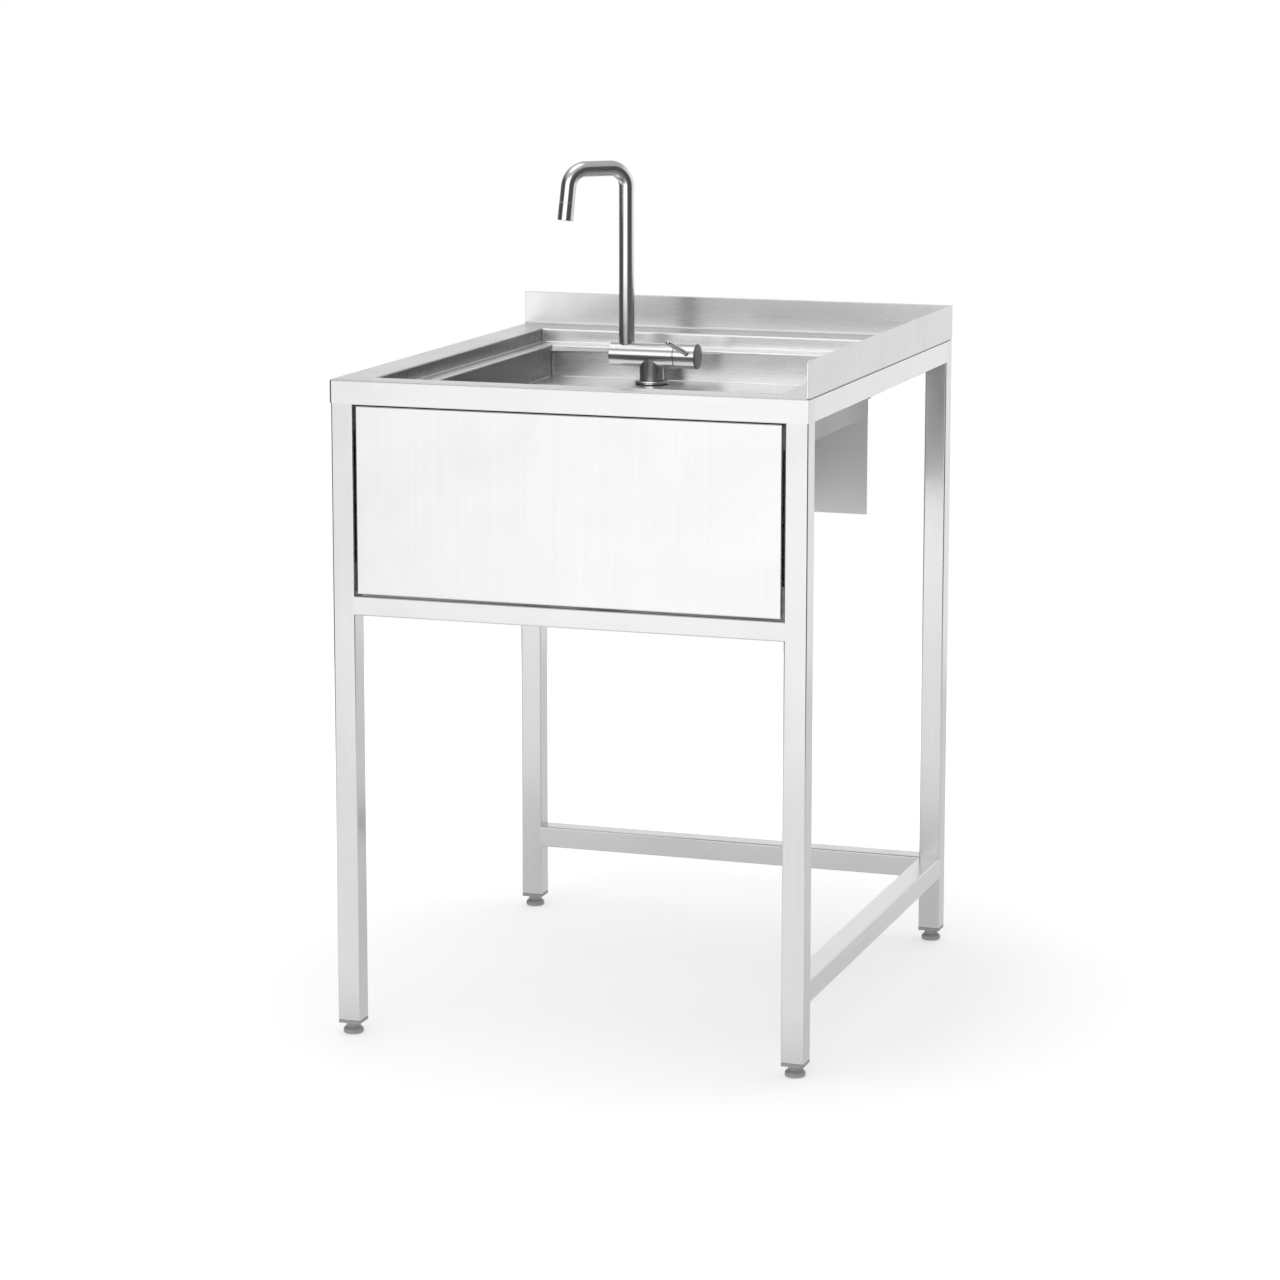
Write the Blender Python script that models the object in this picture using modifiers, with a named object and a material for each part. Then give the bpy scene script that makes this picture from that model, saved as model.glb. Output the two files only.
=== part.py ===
"""Portable handwash sink: a welded square-tube stand, a folded steel worktop with a stepped recess,
a hand basin behind a front panel, a basket waste, a side-lever tap and four levelling feet.

Metres, +Z up, front towards -Y. The origin is on the floor, under the centre of the worktop.
"""
import math

import bmesh
import bpy
from mathutils import Matrix, Vector

# ---------------------------------------------------------------- driving dimensions
WIDTH = 0.630                    # worktop, left to right
DEPTH = 0.720                    # worktop, front to back
RIM_TOP = 0.857                  # working height
UPSTAND_TOP = 0.9024             # top of the two upstands
SHEET = 0.0012                   # worktop and tray sheet
GAP = 0.0003                     # clearance where two pieces meet

TUBE = 0.030                     # square tube of the stand
TUBE_WALL = 0.0015
TUBE_CORNER = 0.0022             # outer corner radius of the tube
LEG_BOTTOM = 0.020               # tube end above the floor
BOTTOM_RAIL_Z = 0.107            # mid height of the two bottom rails
LOWER_RAIL_TOP = 0.580           # rail under the front panel
LOWER_RAIL_HEIGHT = 0.025
BED = 0.0011                     # sealing tape between the stand and the worktop

LIP_BOTTOM = 0.8265              # lower edge of the folded front and left lips
UPSTAND_THICK = 0.0026           # hemmed double sheet

RIM_LEFT = 0.049                 # rim widths round the recess
RIM_RIGHT = 0.048
RIM_FRONT = 0.034
RIM_BACK = 0.065
LEDGE_DROP = 0.019               # depth of the first step
LEDGE_LEFT = 0.026
LEDGE_RIGHT = 0.020
LEDGE_FRONT = 0.024
LEDGE_BACK = 0.031
DECK_Z = 0.7935                  # tap deck, top face
DECK_DEPTH = 0.098
FLOOR_Z = 0.769                  # tray floor, top face

BOWL_LEFT = 0.090                # basin opening, measured from the left and front of the worktop
BOWL_WIDTH = 0.330
BOWL_FRONT = 0.108
BOWL_LENGTH = 0.400
BOWL_BOTTOM = 0.606              # inside of the basin's floor
BOWL_CORNER = 0.050
BOWL_FOOT = 0.022
DRAIN_HOLE_R = 0.027
TAP_HOLE_R = 0.0175

PANEL_GAP = 0.0025               # shadow gap round the front panel
PANEL_RETURN = 0.028             # depth of its folded sides
PANEL_FLANGE = 0.018             # inward flange behind the sides
SKIRT_BOTTOM = 0.634

TAP_X = -0.077                   # tap centre line
TAP_Y = 0.218
BARREL_Z = 0.834                 # axis of the tap's barrel
BARREL_R = 0.0170
BARREL_LEFT = -0.058             # barrel ends, from the tap's centre line
BARREL_RIGHT = 0.0348
NECK_R = 0.0167
RISER_X = -0.0364                # riser, from the tap's centre line
RISER_R = 0.0110
SWIVEL_Z = 0.873                 # joint between the boss and the turning spout
ARM_Z = 1.0925                   # axis of the spout's level arm
ARM_LENGTH = 0.086               # riser axis to the corner of the drop
ARM_HEADING = math.radians(225)  # the arm's direction at rest, from +X towards +Y
BEND_R = 0.026
DROP_LEAN = math.radians(6.5)
AERATOR_START = 0.045            # distances along the drop, from its corner
AERATOR_END = 0.070
PIN_RISE = math.radians(19.5)    # lever pin above the level, at rest
PIN_LEAN = math.radians(6.0)     # and leaning back towards the barrel
PIN_LENGTH = 0.066
PIN_R = 0.0034

# ---------------------------------------------------------------- derived places
LEFT = -WIDTH / 2
RIGHT = WIDTH / 2
FRONT = -DEPTH / 2
BACK = DEPTH / 2
STAND_LEFT = LEFT + SHEET + GAP              # outer faces of the stand, behind the folded lips
STAND_FRONT = FRONT + SHEET + GAP
RING_TOP = RIM_TOP - SHEET - BED             # top of the stand's ring
RING_Z = RING_TOP - TUBE / 2
LEG_X = (STAND_LEFT + TUBE / 2, RIGHT - TUBE / 2)
LEG_Y = (STAND_FRONT + TUBE / 2, BACK - TUBE / 2)
CORNERS = {"front_left": (LEG_X[0], LEG_Y[0]), "front_right": (LEG_X[1], LEG_Y[0]),
           "back_left": (LEG_X[0], LEG_Y[1]), "back_right": (LEG_X[1], LEG_Y[1])}
SPAN_X = (LEG_X[0] + TUBE / 2 + GAP, LEG_X[1] - TUBE / 2 - GAP)      # clear span between legs
SPAN_Y = (LEG_Y[0] + TUBE / 2 + GAP, LEG_Y[1] - TUBE / 2 - GAP)

RECESS_LOW = (LEFT + RIM_LEFT, FRONT + RIM_FRONT)                     # inner faces of the recess
RECESS_HIGH = (RIGHT - RIM_RIGHT, BACK - RIM_BACK)
LEDGE_Z = RIM_TOP - LEDGE_DROP
WELL_LOW = (RECESS_LOW[0] + LEDGE_LEFT, RECESS_LOW[1] + LEDGE_FRONT)  # inner faces of the well
WELL_HIGH = (RECESS_HIGH[0] - LEDGE_RIGHT, RECESS_HIGH[1] - LEDGE_BACK)
DECK_FRONT = WELL_HIGH[1] - DECK_DEPTH

BOWL_LOW = (LEFT + BOWL_LEFT, FRONT + BOWL_FRONT)
BOWL_HIGH = (BOWL_LOW[0] + BOWL_WIDTH, BOWL_LOW[1] + BOWL_LENGTH)
DRAIN = ((BOWL_LOW[0] + BOWL_HIGH[0]) / 2, (BOWL_LOW[1] + BOWL_HIGH[1]) / 2)

STEEL = ((0.72, 0.72, 0.71), 0.32, 1.0)      # colour, roughness, metallic
BRIGHT = ((0.86, 0.86, 0.85), 0.30, 1.0)
TAP_STEEL = ((0.55, 0.54, 0.52), 0.24, 1.0)
DARK_STEEL = ((0.16, 0.16, 0.16), 0.35, 1.0)
BRASS = ((0.72, 0.55, 0.28), 0.35, 1.0)
GREY_PLASTIC = ((0.42, 0.42, 0.42), 0.55, 0.0)
WHITE_PLASTIC = ((0.80, 0.80, 0.78), 0.45, 0.0)
RUBBER = ((0.05, 0.05, 0.05), 0.75, 0.0)
SEALANT = ((0.14, 0.14, 0.14), 0.80, 0.0)

for old in list(bpy.data.objects):
    bpy.data.objects.remove(old, do_unlink=True)
parts = bpy.data.collections.new("portable_handwash_sink")
tools = bpy.data.collections.new("cutters")
bpy.context.scene.collection.children.link(parts)
bpy.context.scene.collection.children.link(tools)


# ---------------------------------------------------------------- shape tools
def finish(obj, look):
    """Give an object its own material from a (colour, roughness, metallic) look."""
    colour, roughness, metallic = look
    material = bpy.data.materials.new(obj.name)
    material.use_nodes = True
    shader = material.node_tree.nodes["Principled BSDF"]
    shader.inputs["Base Color"].default_value = (*colour, 1.0)
    shader.inputs["Roughness"].default_value = roughness
    shader.inputs["Metallic"].default_value = metallic
    obj.data.materials.clear()
    obj.data.materials.append(material)
    return obj


def new_object(name, data, look=None):
    """Link a new object as a finished part, or as a wire-drawn tool when it has no look."""
    obj = bpy.data.objects.new(name, data)
    if look is None:
        tools.objects.link(obj)
        obj.hide_render = True
        obj.display_type = "WIRE"
        return obj
    parts.objects.link(obj)
    return finish(obj, look)


def mesh_from(bm, name):
    """Turn a bmesh into a mesh and free it."""
    mesh = bpy.data.meshes.new(name)
    bm.to_mesh(mesh)
    bm.free()
    return mesh


def rounded_block(size, along, radius, segments):
    """A block about its centre, as an open bmesh, with its four edges along one axis rounded."""
    bm = bmesh.new()
    bmesh.ops.create_cube(bm, size=1.0, matrix=Matrix.Diagonal((*size, 1.0)))
    edges = [edge for edge in bm.edges
             if abs(edge.verts[0].co[along] - edge.verts[1].co[along]) > size[along] / 2]
    bmesh.ops.bevel(bm, geom=edges, offset=radius, segments=segments, profile=0.5, affect="EDGES")
    return bm


def box(name, low, high, look=None):
    """A block between two corners, its origin at its centre."""
    low, high = Vector(low), Vector(high)
    bm = bmesh.new()
    bmesh.ops.create_cube(bm, size=1.0, matrix=Matrix.Diagonal((*(high - low), 1.0)))
    obj = new_object(name, mesh_from(bm, name), look)
    obj.location = (low + high) / 2
    return obj


def rod(name, start, end, radius, look=None, sides=24):
    """A plain cylinder between two points."""
    start, end = Vector(start), Vector(end)
    bm = bmesh.new()
    bmesh.ops.create_cone(bm, cap_ends=True, segments=sides, radius1=radius, radius2=radius,
                          depth=(end - start).length)
    obj = new_object(name, mesh_from(bm, name), look)
    obj.location = (start + end) / 2
    obj.rotation_mode = "QUATERNION"
    obj.rotation_quaternion = (end - start).to_track_quat("Z", "Y")
    round_shading(obj)
    return obj


def round_shading(obj):
    """Smooth the curved sides and keep the rims sharp."""
    obj.data.shade_smooth()
    obj.data.set_sharp_from_angle(angle=math.radians(40))


def turned(name, profile, place, look=None, steps=24, closed=True, axis=(0, 0, 1)):
    """Turn a profile of (radius, height) points about an axis through place.

    The profile runs from the top down the outer side; a closed one comes back up the inner side.
    """
    bm = bmesh.new()
    points = [bm.verts.new((radius, 0.0, height)) for radius, height in profile]
    for first, second in zip(points, points[1:]):
        bm.edges.new((first, second))
    if closed:
        bm.edges.new((points[-1], points[0]))
    obj = new_object(name, mesh_from(bm, name), look)
    screw = obj.modifiers.new("turn", "SCREW")
    screw.steps = steps
    screw.render_steps = steps
    screw.use_merge_vertices = True
    screw.merge_threshold = 0.00005
    screw.use_smooth_shade = True
    obj.location = place
    obj.rotation_mode = "QUATERNION"
    obj.rotation_quaternion = Vector(axis).to_track_quat("Z", "Y")
    return obj


def ring(name, inner, outer, bottom, top, place, look, steps=24, axis=(0, 0, 1)):
    """A flat-sided ring, such as a washer, seal or nut."""
    profile = [(inner, top), (outer, top), (outer, bottom), (inner, bottom)]
    return turned(name, profile, place, look, steps, axis=axis)


def nut(name, bore, radius, bottom, top, place, look, sides):
    """A flat-sided nut with a round bore, its corners at the given radius."""
    x, y = place[0], place[1]
    body = rod(name, (x, y, bottom), (x, y, top), radius, look, sides=sides)
    cut(body, rod(name + "_bore", (x, y, bottom - 0.005), (x, y, top + 0.005), bore))
    return body


def rounded_outline(width, height, radius, arc_steps):
    """Corner points of a rectangle with round corners, about its centre."""
    points = []
    for number, (side_x, side_y) in enumerate([(1, 1), (-1, 1), (-1, -1), (1, -1)]):
        centre_x = side_x * (width / 2 - radius)
        centre_y = side_y * (height / 2 - radius)
        for step in range(arc_steps + 1):
            turn = math.radians(90) * (number + step / arc_steps)
            points.append((centre_x + radius * math.cos(turn), centre_y + radius * math.sin(turn)))
    return points


def extruded(name, outlines, length, look):
    """A flat outline, with any inner outlines as holes, drawn out along its own Z."""
    curve = bpy.data.curves.new(name, "CURVE")
    curve.dimensions = "2D"
    curve.fill_mode = "BOTH"
    curve.extrude = length / 2
    for outline in outlines:
        spline = curve.splines.new("POLY")
        spline.points.add(len(outline) - 1)
        for point, (x, y) in zip(spline.points, outline):
            point.co = (x, y, 0.0, 1.0)
        spline.use_cyclic_u = True
    return new_object(name, curve, look)


def square_tube(name, start, end, look, width=TUBE, height=TUBE):
    """A hollow section with round corners between two points; its height is up, or along Y on a leg."""
    start, end = Vector(start), Vector(end)
    outer = rounded_outline(width, height, TUBE_CORNER, 3)
    bore = rounded_outline(width - 2 * TUBE_WALL, height - 2 * TUBE_WALL, TUBE_CORNER - TUBE_WALL, 1)
    obj = extruded(name, [outer, bore], (end - start).length, look)
    obj.location = (start + end) / 2
    obj.rotation_mode = "QUATERNION"
    obj.rotation_quaternion = (end - start).to_track_quat("Z", "Y")
    return obj


def combine(obj, tool, operation):
    """Add an exact Boolean of one object with another."""
    boolean = obj.modifiers.new(tool.name, "BOOLEAN")
    boolean.operation = operation
    boolean.solver = "EXACT"
    boolean.object = tool


def cut(obj, tool):
    combine(obj, tool, "DIFFERENCE")


def join(obj, tool):
    combine(obj, tool, "UNION")


# ---------------------------------------------------------------- stand
def build_legs():
    """Four legs of square tube, from just above the pads to the top of the ring."""
    for corner, (x, y) in CORNERS.items():
        square_tube("leg_" + corner, (x, y, LEG_BOTTOM), (x, y, RING_TOP), STEEL)


def build_rails():
    """Rails butt against the legs, where the real stand is welded and ground flush."""
    front_y, back_y = LEG_Y
    left_x, right_x = LEG_X
    for name, y, z in (("rail_top_front", front_y, RING_Z), ("rail_top_back", back_y, RING_Z),
                       ("rail_bottom_back", back_y, BOTTOM_RAIL_Z)):
        square_tube(name, (SPAN_X[0], y, z), (SPAN_X[1], y, z), STEEL)
    for name, x, z in (("rail_top_left", left_x, RING_Z), ("rail_top_right", right_x, RING_Z),
                       ("rail_bottom_right", right_x, BOTTOM_RAIL_Z)):
        square_tube(name, (x, SPAN_Y[0], z), (x, SPAN_Y[1], z), STEEL)
    lower_z = LOWER_RAIL_TOP - LOWER_RAIL_HEIGHT / 2
    square_tube("rail_lower_front", (SPAN_X[0], front_y, lower_z), (SPAN_X[1], front_y, lower_z),
                STEEL, height=LOWER_RAIL_HEIGHT)


# ---------------------------------------------------------------- plugs and levelling feet
PLUG_LIP = 0.0045
PLUG_DEPTH = 0.022
STEM_R = 0.0040
STEM_TOP = 0.075
PAD_R = 0.0132
PAD_NECK_R = 0.0090
PAD_HEIGHT = 0.0084
PAD_ROUND = 0.0018


def build_plug(corner, x, y):
    """Moulded insert: a square flange under the tube end, a stub inside it and a bore for the stem."""
    top = LEG_BOTTOM - GAP
    half = TUBE / 2
    stub = half - TUBE_WALL - 2 * GAP
    plug = box("leg_plug_" + corner, (x - half, y - half, top - PLUG_LIP), (x + half, y + half, top),
               GREY_PLASTIC)
    join(plug, box("plug_stub_" + corner, (x - stub, y - stub, top - PLUG_LIP / 2),
                   (x + stub, y + stub, top + PLUG_DEPTH)))
    cut(plug, rod("plug_bore_" + corner, (x, y, 0), (x, y, top + 2 * PLUG_DEPTH), STEM_R + GAP, sides=16))


def build_foot(corner, x, y):
    """A flared pad moulded on a threaded stem, which screws in and out of the plug."""
    neck_top = LEG_BOTTOM - PLUG_LIP - 2 * GAP
    foot = [(0.0, STEM_TOP), (STEM_R, STEM_TOP), (STEM_R, neck_top),
            (PAD_NECK_R, neck_top), (PAD_NECK_R, PAD_HEIGHT), (PAD_R - PAD_ROUND, PAD_HEIGHT - PAD_ROUND / 2),
            (PAD_R, PAD_HEIGHT - 2 * PAD_ROUND), (PAD_R, PAD_ROUND), (PAD_R - PAD_ROUND, 0.0), (0.0, 0.0)]
    turned("foot_" + corner, foot, (x, y, 0), GREY_PLASTIC, steps=20, closed=False)


def build_feet():
    """A plug and a foot in each leg."""
    for corner, (x, y) in CORNERS.items():
        build_plug(corner, x, y)
        build_foot(corner, x, y)


# ---------------------------------------------------------------- worktop, tray and basin
def build_worktop():
    """Folded rim with a front and a left lip, and hemmed upstands along the back and the right."""
    under = RIM_TOP - SHEET
    inside = RIM_TOP - SHEET / 2
    through = 0.005
    top = box("worktop", (LEFT, FRONT, under), (RIGHT, BACK, RIM_TOP), BRIGHT)
    join(top, box("lip_front", (LEFT, FRONT, LIP_BOTTOM), (RIGHT, FRONT + SHEET, inside)))
    join(top, box("lip_left", (LEFT, FRONT, LIP_BOTTOM), (LEFT + SHEET, BACK, inside)))
    join(top, box("upstand_back", (LEFT, BACK - UPSTAND_THICK, under), (RIGHT, BACK, UPSTAND_TOP)))
    join(top, box("upstand_right", (RIGHT - UPSTAND_THICK, FRONT, under), (RIGHT, BACK, UPSTAND_TOP)))
    margin = SHEET + GAP
    cut(top, box("recess_opening", (RECESS_LOW[0] - margin, RECESS_LOW[1] - margin, under - through),
                 (RECESS_HIGH[0] + margin, RECESS_HIGH[1] + margin, RIM_TOP + through)))


def build_bed():
    """Sealing tape on the stand's ring, a little inside its outer faces."""
    inset = 0.0015
    low_z, high_z = RING_TOP + GAP / 2, RIM_TOP - SHEET - GAP / 2
    bed = box("bedding_tape", (STAND_LEFT + inset, STAND_FRONT + inset, low_z),
              (RIGHT - inset, BACK - inset, high_z), SEALANT)
    inner = 0.8 * TUBE
    cut(bed, box("bed_opening", (STAND_LEFT + inner, STAND_FRONT + inner, low_z - BED),
                 (RIGHT - inner, BACK - inner, high_z + BED)))


def build_tray():
    """Stepped recess: a shallow first step with a ledge, then a well with a raised tap deck at the back."""
    steps = ((RECESS_LOW, RECESS_HIGH, LEDGE_Z, RIM_TOP),
             (WELL_LOW, WELL_HIGH, DECK_Z, LEDGE_Z),
             (WELL_LOW, (WELL_HIGH[0], DECK_FRONT), FLOOR_Z, DECK_Z))
    tray = None
    for number, (low, high, bottom, top) in enumerate(steps):
        corner = (low[0] - SHEET, low[1] - SHEET, bottom - SHEET)
        other = (high[0] + SHEET, high[1] + SHEET, top)
        if tray is None:
            tray = box("recess_tray", corner, other, BRIGHT)
        else:
            join(tray, box("tray_step_%d" % number, corner, other))
    above = 0.004
    for number, (low, high, bottom, top) in enumerate(steps):
        cut(tray, box("tray_hollow_%d" % number, (*low, bottom), (*high, top + above)))
    margin = SHEET + GAP
    size = (BOWL_WIDTH + 2 * margin, BOWL_LENGTH + 2 * margin, 0.020)
    hole = new_object("basin_hole", mesh_from(rounded_block(size, 2, BOWL_CORNER + margin, 6), "basin_hole"))
    hole.location = (*DRAIN, FLOOR_Z)
    cut(tray, hole)
    cut(tray, rod("tap_hole", (TAP_X, TAP_Y, DECK_Z - 0.01), (TAP_X, TAP_Y, DECK_Z + 0.01), TAP_HOLE_R))


def build_bowl():
    """Deep-drawn basin: an open shell with round corners, welded into the tray's floor."""
    size = (BOWL_WIDTH, BOWL_LENGTH, FLOOR_Z - BOWL_BOTTOM)
    bm = rounded_block(size, 2, BOWL_CORNER, 6)
    lid = max(bm.faces, key=lambda face: face.calc_center_median().z)
    bmesh.ops.delete(bm, geom=[lid], context="FACES_ONLY")
    base = [edge for edge in bm.edges if max(vert.co.z for vert in edge.verts) < -0.49 * size[2]]
    bmesh.ops.bevel(bm, geom=base, offset=BOWL_FOOT, segments=4, profile=0.5, affect="EDGES")
    bmesh.ops.recalc_face_normals(bm, faces=bm.faces)
    bowl = new_object("sink_bowl", mesh_from(bm, "sink_bowl"), BRIGHT)
    bowl.location = (*DRAIN, (FLOOR_Z + BOWL_BOTTOM) / 2)
    shell = bowl.modifiers.new("sheet", "SOLIDIFY")
    shell.thickness = SHEET
    shell.offset = 1.0
    shell.use_even_offset = True
    cut(bowl, rod("drain_hole", (*DRAIN, BOWL_BOTTOM - 0.01), (*DRAIN, BOWL_BOTTOM + 0.01), DRAIN_HOLE_R))


# ---------------------------------------------------------------- front panel and rear skirt
PANEL_FOLD_R = 0.003
BRACKET_THICK = 0.002
BRACKET_HEIGHT = 0.170
BRACKET_LAP = 0.020              # how far a bracket reaches behind its leg
SCREW_R = 0.0019
SCREW_INSET = 0.010              # from the panel's side
SCREW_SPREAD = 0.060             # above and below the panel's middle
HEAD_R = 0.0040
HEAD_HEIGHT = 0.0026


def panel_screw_places():
    """Two screws up each side, through the bracket and the panel's rear flange."""
    places = []
    mid_z = (LOWER_RAIL_TOP + LIP_BOTTOM) / 2
    inset = PANEL_GAP + SCREW_INSET
    for side_x in (SPAN_X[0] + inset, SPAN_X[1] - inset):
        for step in (-1, 1):
            places.append((side_x, mid_z + step * SCREW_SPREAD))
    return places


def build_panel():
    """Front panel: a flat face with folded sides and inward flanges, inside the front frame."""
    low = (SPAN_X[0] + PANEL_GAP, STAND_FRONT, LOWER_RAIL_TOP + PANEL_GAP)
    high = (SPAN_X[1] - PANEL_GAP, STAND_FRONT + PANEL_RETURN, LIP_BOTTOM - PANEL_GAP)
    size = [high[axis] - low[axis] for axis in range(3)]
    block = rounded_block(size, 1, PANEL_FOLD_R, 3)
    panel = new_object("front_panel", mesh_from(block, "front_panel"), BRIGHT)
    panel.location = [(low[axis] + high[axis]) / 2 for axis in range(3)]
    cut(panel, box("panel_hollow", (low[0] + SHEET, low[1] + SHEET, low[2] + SHEET),
                   (high[0] - SHEET, high[1] - SHEET, high[2] - SHEET)))
    reach = 4 * SHEET
    cut(panel, box("panel_back_opening", (low[0] + PANEL_FLANGE, high[1] - reach, low[2] + PANEL_FLANGE),
                   (high[0] - PANEL_FLANGE, high[1] + reach, high[2] - PANEL_FLANGE)))
    for number, (x, z) in enumerate(panel_screw_places()):
        cut(panel, rod("panel_screw_hole_%d" % number, (x, high[1] - reach, z), (x, high[1] + reach, z),
                       SCREW_R + GAP, sides=12))


def build_brackets():
    """A plate behind each front leg, welded to it, that the panel's flange is screwed to."""
    near = STAND_FRONT + TUBE + GAP
    mid_z = (LOWER_RAIL_TOP + LIP_BOTTOM) / 2
    reach = PANEL_GAP + PANEL_FLANGE
    spans = {"left": (SPAN_X[0] - BRACKET_LAP, SPAN_X[0] + reach),
             "right": (SPAN_X[1] - reach, SPAN_X[1] + BRACKET_LAP)}
    for side, (low_x, high_x) in spans.items():
        plate = box("panel_bracket_" + side, (low_x, near, mid_z - BRACKET_HEIGHT / 2),
                    (high_x, near + BRACKET_THICK, mid_z + BRACKET_HEIGHT / 2), STEEL)
        for number, (x, z) in enumerate(panel_screw_places()):
            if low_x < x < high_x:
                cut(plate, rod("bracket_hole_%s_%d" % (side, number), (x, near - BRACKET_THICK, z),
                               (x, near + 2 * BRACKET_THICK, z), SCREW_R + GAP, sides=12))


def build_panel_screws():
    """Pan-head screws: head on the bracket, shank through to just inside the panel's flange."""
    seat = STAND_FRONT + TUBE + 2 * GAP + BRACKET_THICK
    length = seat - (STAND_FRONT + PANEL_RETURN - 4 * SHEET)
    profile = [(0.0, HEAD_HEIGHT), (0.55 * HEAD_R, 0.92 * HEAD_HEIGHT), (0.95 * HEAD_R, 0.46 * HEAD_HEIGHT),
               (HEAD_R, 0.0), (SCREW_R, 0.0), (SCREW_R, SCREW_R / 2 - length), (0.0, -length)]
    for number, (x, z) in enumerate(panel_screw_places(), start=1):
        turned("panel_screw_%d" % number, profile, (x, seat, z), STEEL, steps=12, closed=False,
               axis=(0, 1, 0))


def build_skirt():
    """Hanging sheet behind the well's back wall, with a flange folded back under the deck."""
    flange = 0.016
    near = DECK_FRONT + SHEET + GAP
    top = DECK_Z - SHEET - GAP
    skirt = box("rear_skirt", (WELL_LOW[0], near, SKIRT_BOTTOM), (WELL_HIGH[0], near + SHEET, top), STEEL)
    join(skirt, box("skirt_flange", (WELL_LOW[0], near, top - SHEET), (WELL_HIGH[0], near + flange, top)))


# ---------------------------------------------------------------- waste
WASTE_R = 0.0255                 # outside of the waste's threaded body
WASTE_BORE = 0.0215
WASTE_SEAL = 0.0015
WASTE_SEAT = 0.0008              # thickness of the flange where the strainer sits
WASTE_FLANGE_R = 0.0405
LOWER_SEAL = 0.003
BACKNUT_R = 0.0355
BACKNUT_HEIGHT = 0.011
WASTE_BODY_BOTTOM = 0.556
TAIL_R = 0.0200
TAIL_BORE = 0.0175
TAIL_LIP_R = 0.0260
TAIL_BOTTOM = 0.520
COLLAR_R = 0.0320
COLLAR_ABOVE = 0.014             # the coupling nut's reach above and below the joint
COLLAR_BELOW = 0.008


def build_waste():
    """Basket waste clamped through the basin's floor, with a strainer that lifts out."""
    under = BOWL_BOTTOM - SHEET
    place = (*DRAIN, 0)
    seal_bottom = BOWL_BOTTOM + GAP
    seat = seal_bottom + WASTE_SEAL + GAP
    ring("waste_upper_seal", WASTE_R + GAP, 0.96 * WASTE_FLANGE_R, seal_bottom, seal_bottom + WASTE_SEAL,
         place, RUBBER)
    flange = [(WASTE_BORE, seat + WASTE_SEAT), (0.74 * WASTE_FLANGE_R, seat + WASTE_SEAT),
              (0.815 * WASTE_FLANGE_R, seat + 0.0030), (0.95 * WASTE_FLANGE_R, seat + 0.0026),
              (WASTE_FLANGE_R, seat + 0.0006), (WASTE_FLANGE_R, seat), (WASTE_R, seat),
              (WASTE_R, WASTE_BODY_BOTTOM), (WASTE_BORE, WASTE_BODY_BOTTOM)]
    turned("waste_flange", flange, place, BRIGHT)
    seal_top = under - GAP
    ring("waste_lower_seal", WASTE_R + GAP, 0.037, seal_top - LOWER_SEAL, seal_top, place, RUBBER)
    nut_top = seal_top - LOWER_SEAL - GAP
    nut("waste_backnut", WASTE_R + 2 * GAP, BACKNUT_R, nut_top - BACKNUT_HEIGHT, nut_top, place,
        WHITE_PLASTIC, sides=12)
    build_tail(place)
    build_strainer(seat + WASTE_SEAT + GAP)


def build_tail(place):
    """Hose tail hung under the waste by its lip, and the coupling nut that holds the lip up."""
    joint = WASTE_BODY_BOTTOM
    lip = 0.0030
    taper = 0.0020
    tail = [(TAIL_BORE, joint - GAP), (TAIL_LIP_R, joint - GAP), (TAIL_LIP_R, joint - lip),
            (TAIL_R, joint - lip - taper), (TAIL_R, TAIL_BOTTOM), (TAIL_BORE, TAIL_BOTTOM)]
    turned("waste_tail", tail, place, WHITE_PLASTIC, steps=20)
    bore = TAIL_R + 2 * GAP
    pocket = TAIL_LIP_R + GAP + 0.0001
    collar = [(WASTE_R + GAP, joint + COLLAR_ABOVE), (COLLAR_R, joint + COLLAR_ABOVE),
              (COLLAR_R, joint - COLLAR_BELOW), (bore, joint - COLLAR_BELOW),
              (bore, joint - lip - taper - 2 * GAP), (pocket, joint - lip - GAP - 0.0001),
              (pocket, joint + 0.001), (WASTE_R + GAP, joint + 0.001)]
    turned("waste_coupling_nut", collar, place, WHITE_PLASTIC)


def build_strainer(seat):
    """Pressed cup with a lip on the flange's seat, a knob to lift it by, and a ring of holes."""
    sheet = 0.0010
    cup_r = 0.0205
    depth = 0.014
    lip_r = 0.0285
    knob_r = 0.0045
    stalk_r = 0.0020
    knob_top = 0.010
    cup = [(0.0, seat + knob_top), (knob_r, seat + knob_top - sheet), (knob_r, seat + knob_top / 2),
           (stalk_r, seat + 0.3 * knob_top), (stalk_r, seat + sheet - depth),
           (cup_r - 3 * sheet, seat + sheet - depth), (cup_r - sheet, seat + sheet), (lip_r, seat + sheet),
           (lip_r, seat), (cup_r, seat), (cup_r - 2 * sheet, seat - depth), (0.0, seat - depth)]
    basket = turned("strainer_basket", cup, (*DRAIN, 0), STEEL, steps=24, closed=False)
    holes = 8
    hole_ring_r = 0.0110
    for number in range(holes):
        turn = 2 * math.pi * (number + 0.5) / holes
        x = DRAIN[0] + hole_ring_r * math.cos(turn)
        y = DRAIN[1] + hole_ring_r * math.sin(turn)
        cut(basket, rod("strainer_hole_%d" % number, (x, y, seat - 1.4 * depth), (x, y, seat - 0.6 * depth),
                        0.0023, sides=10))


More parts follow.
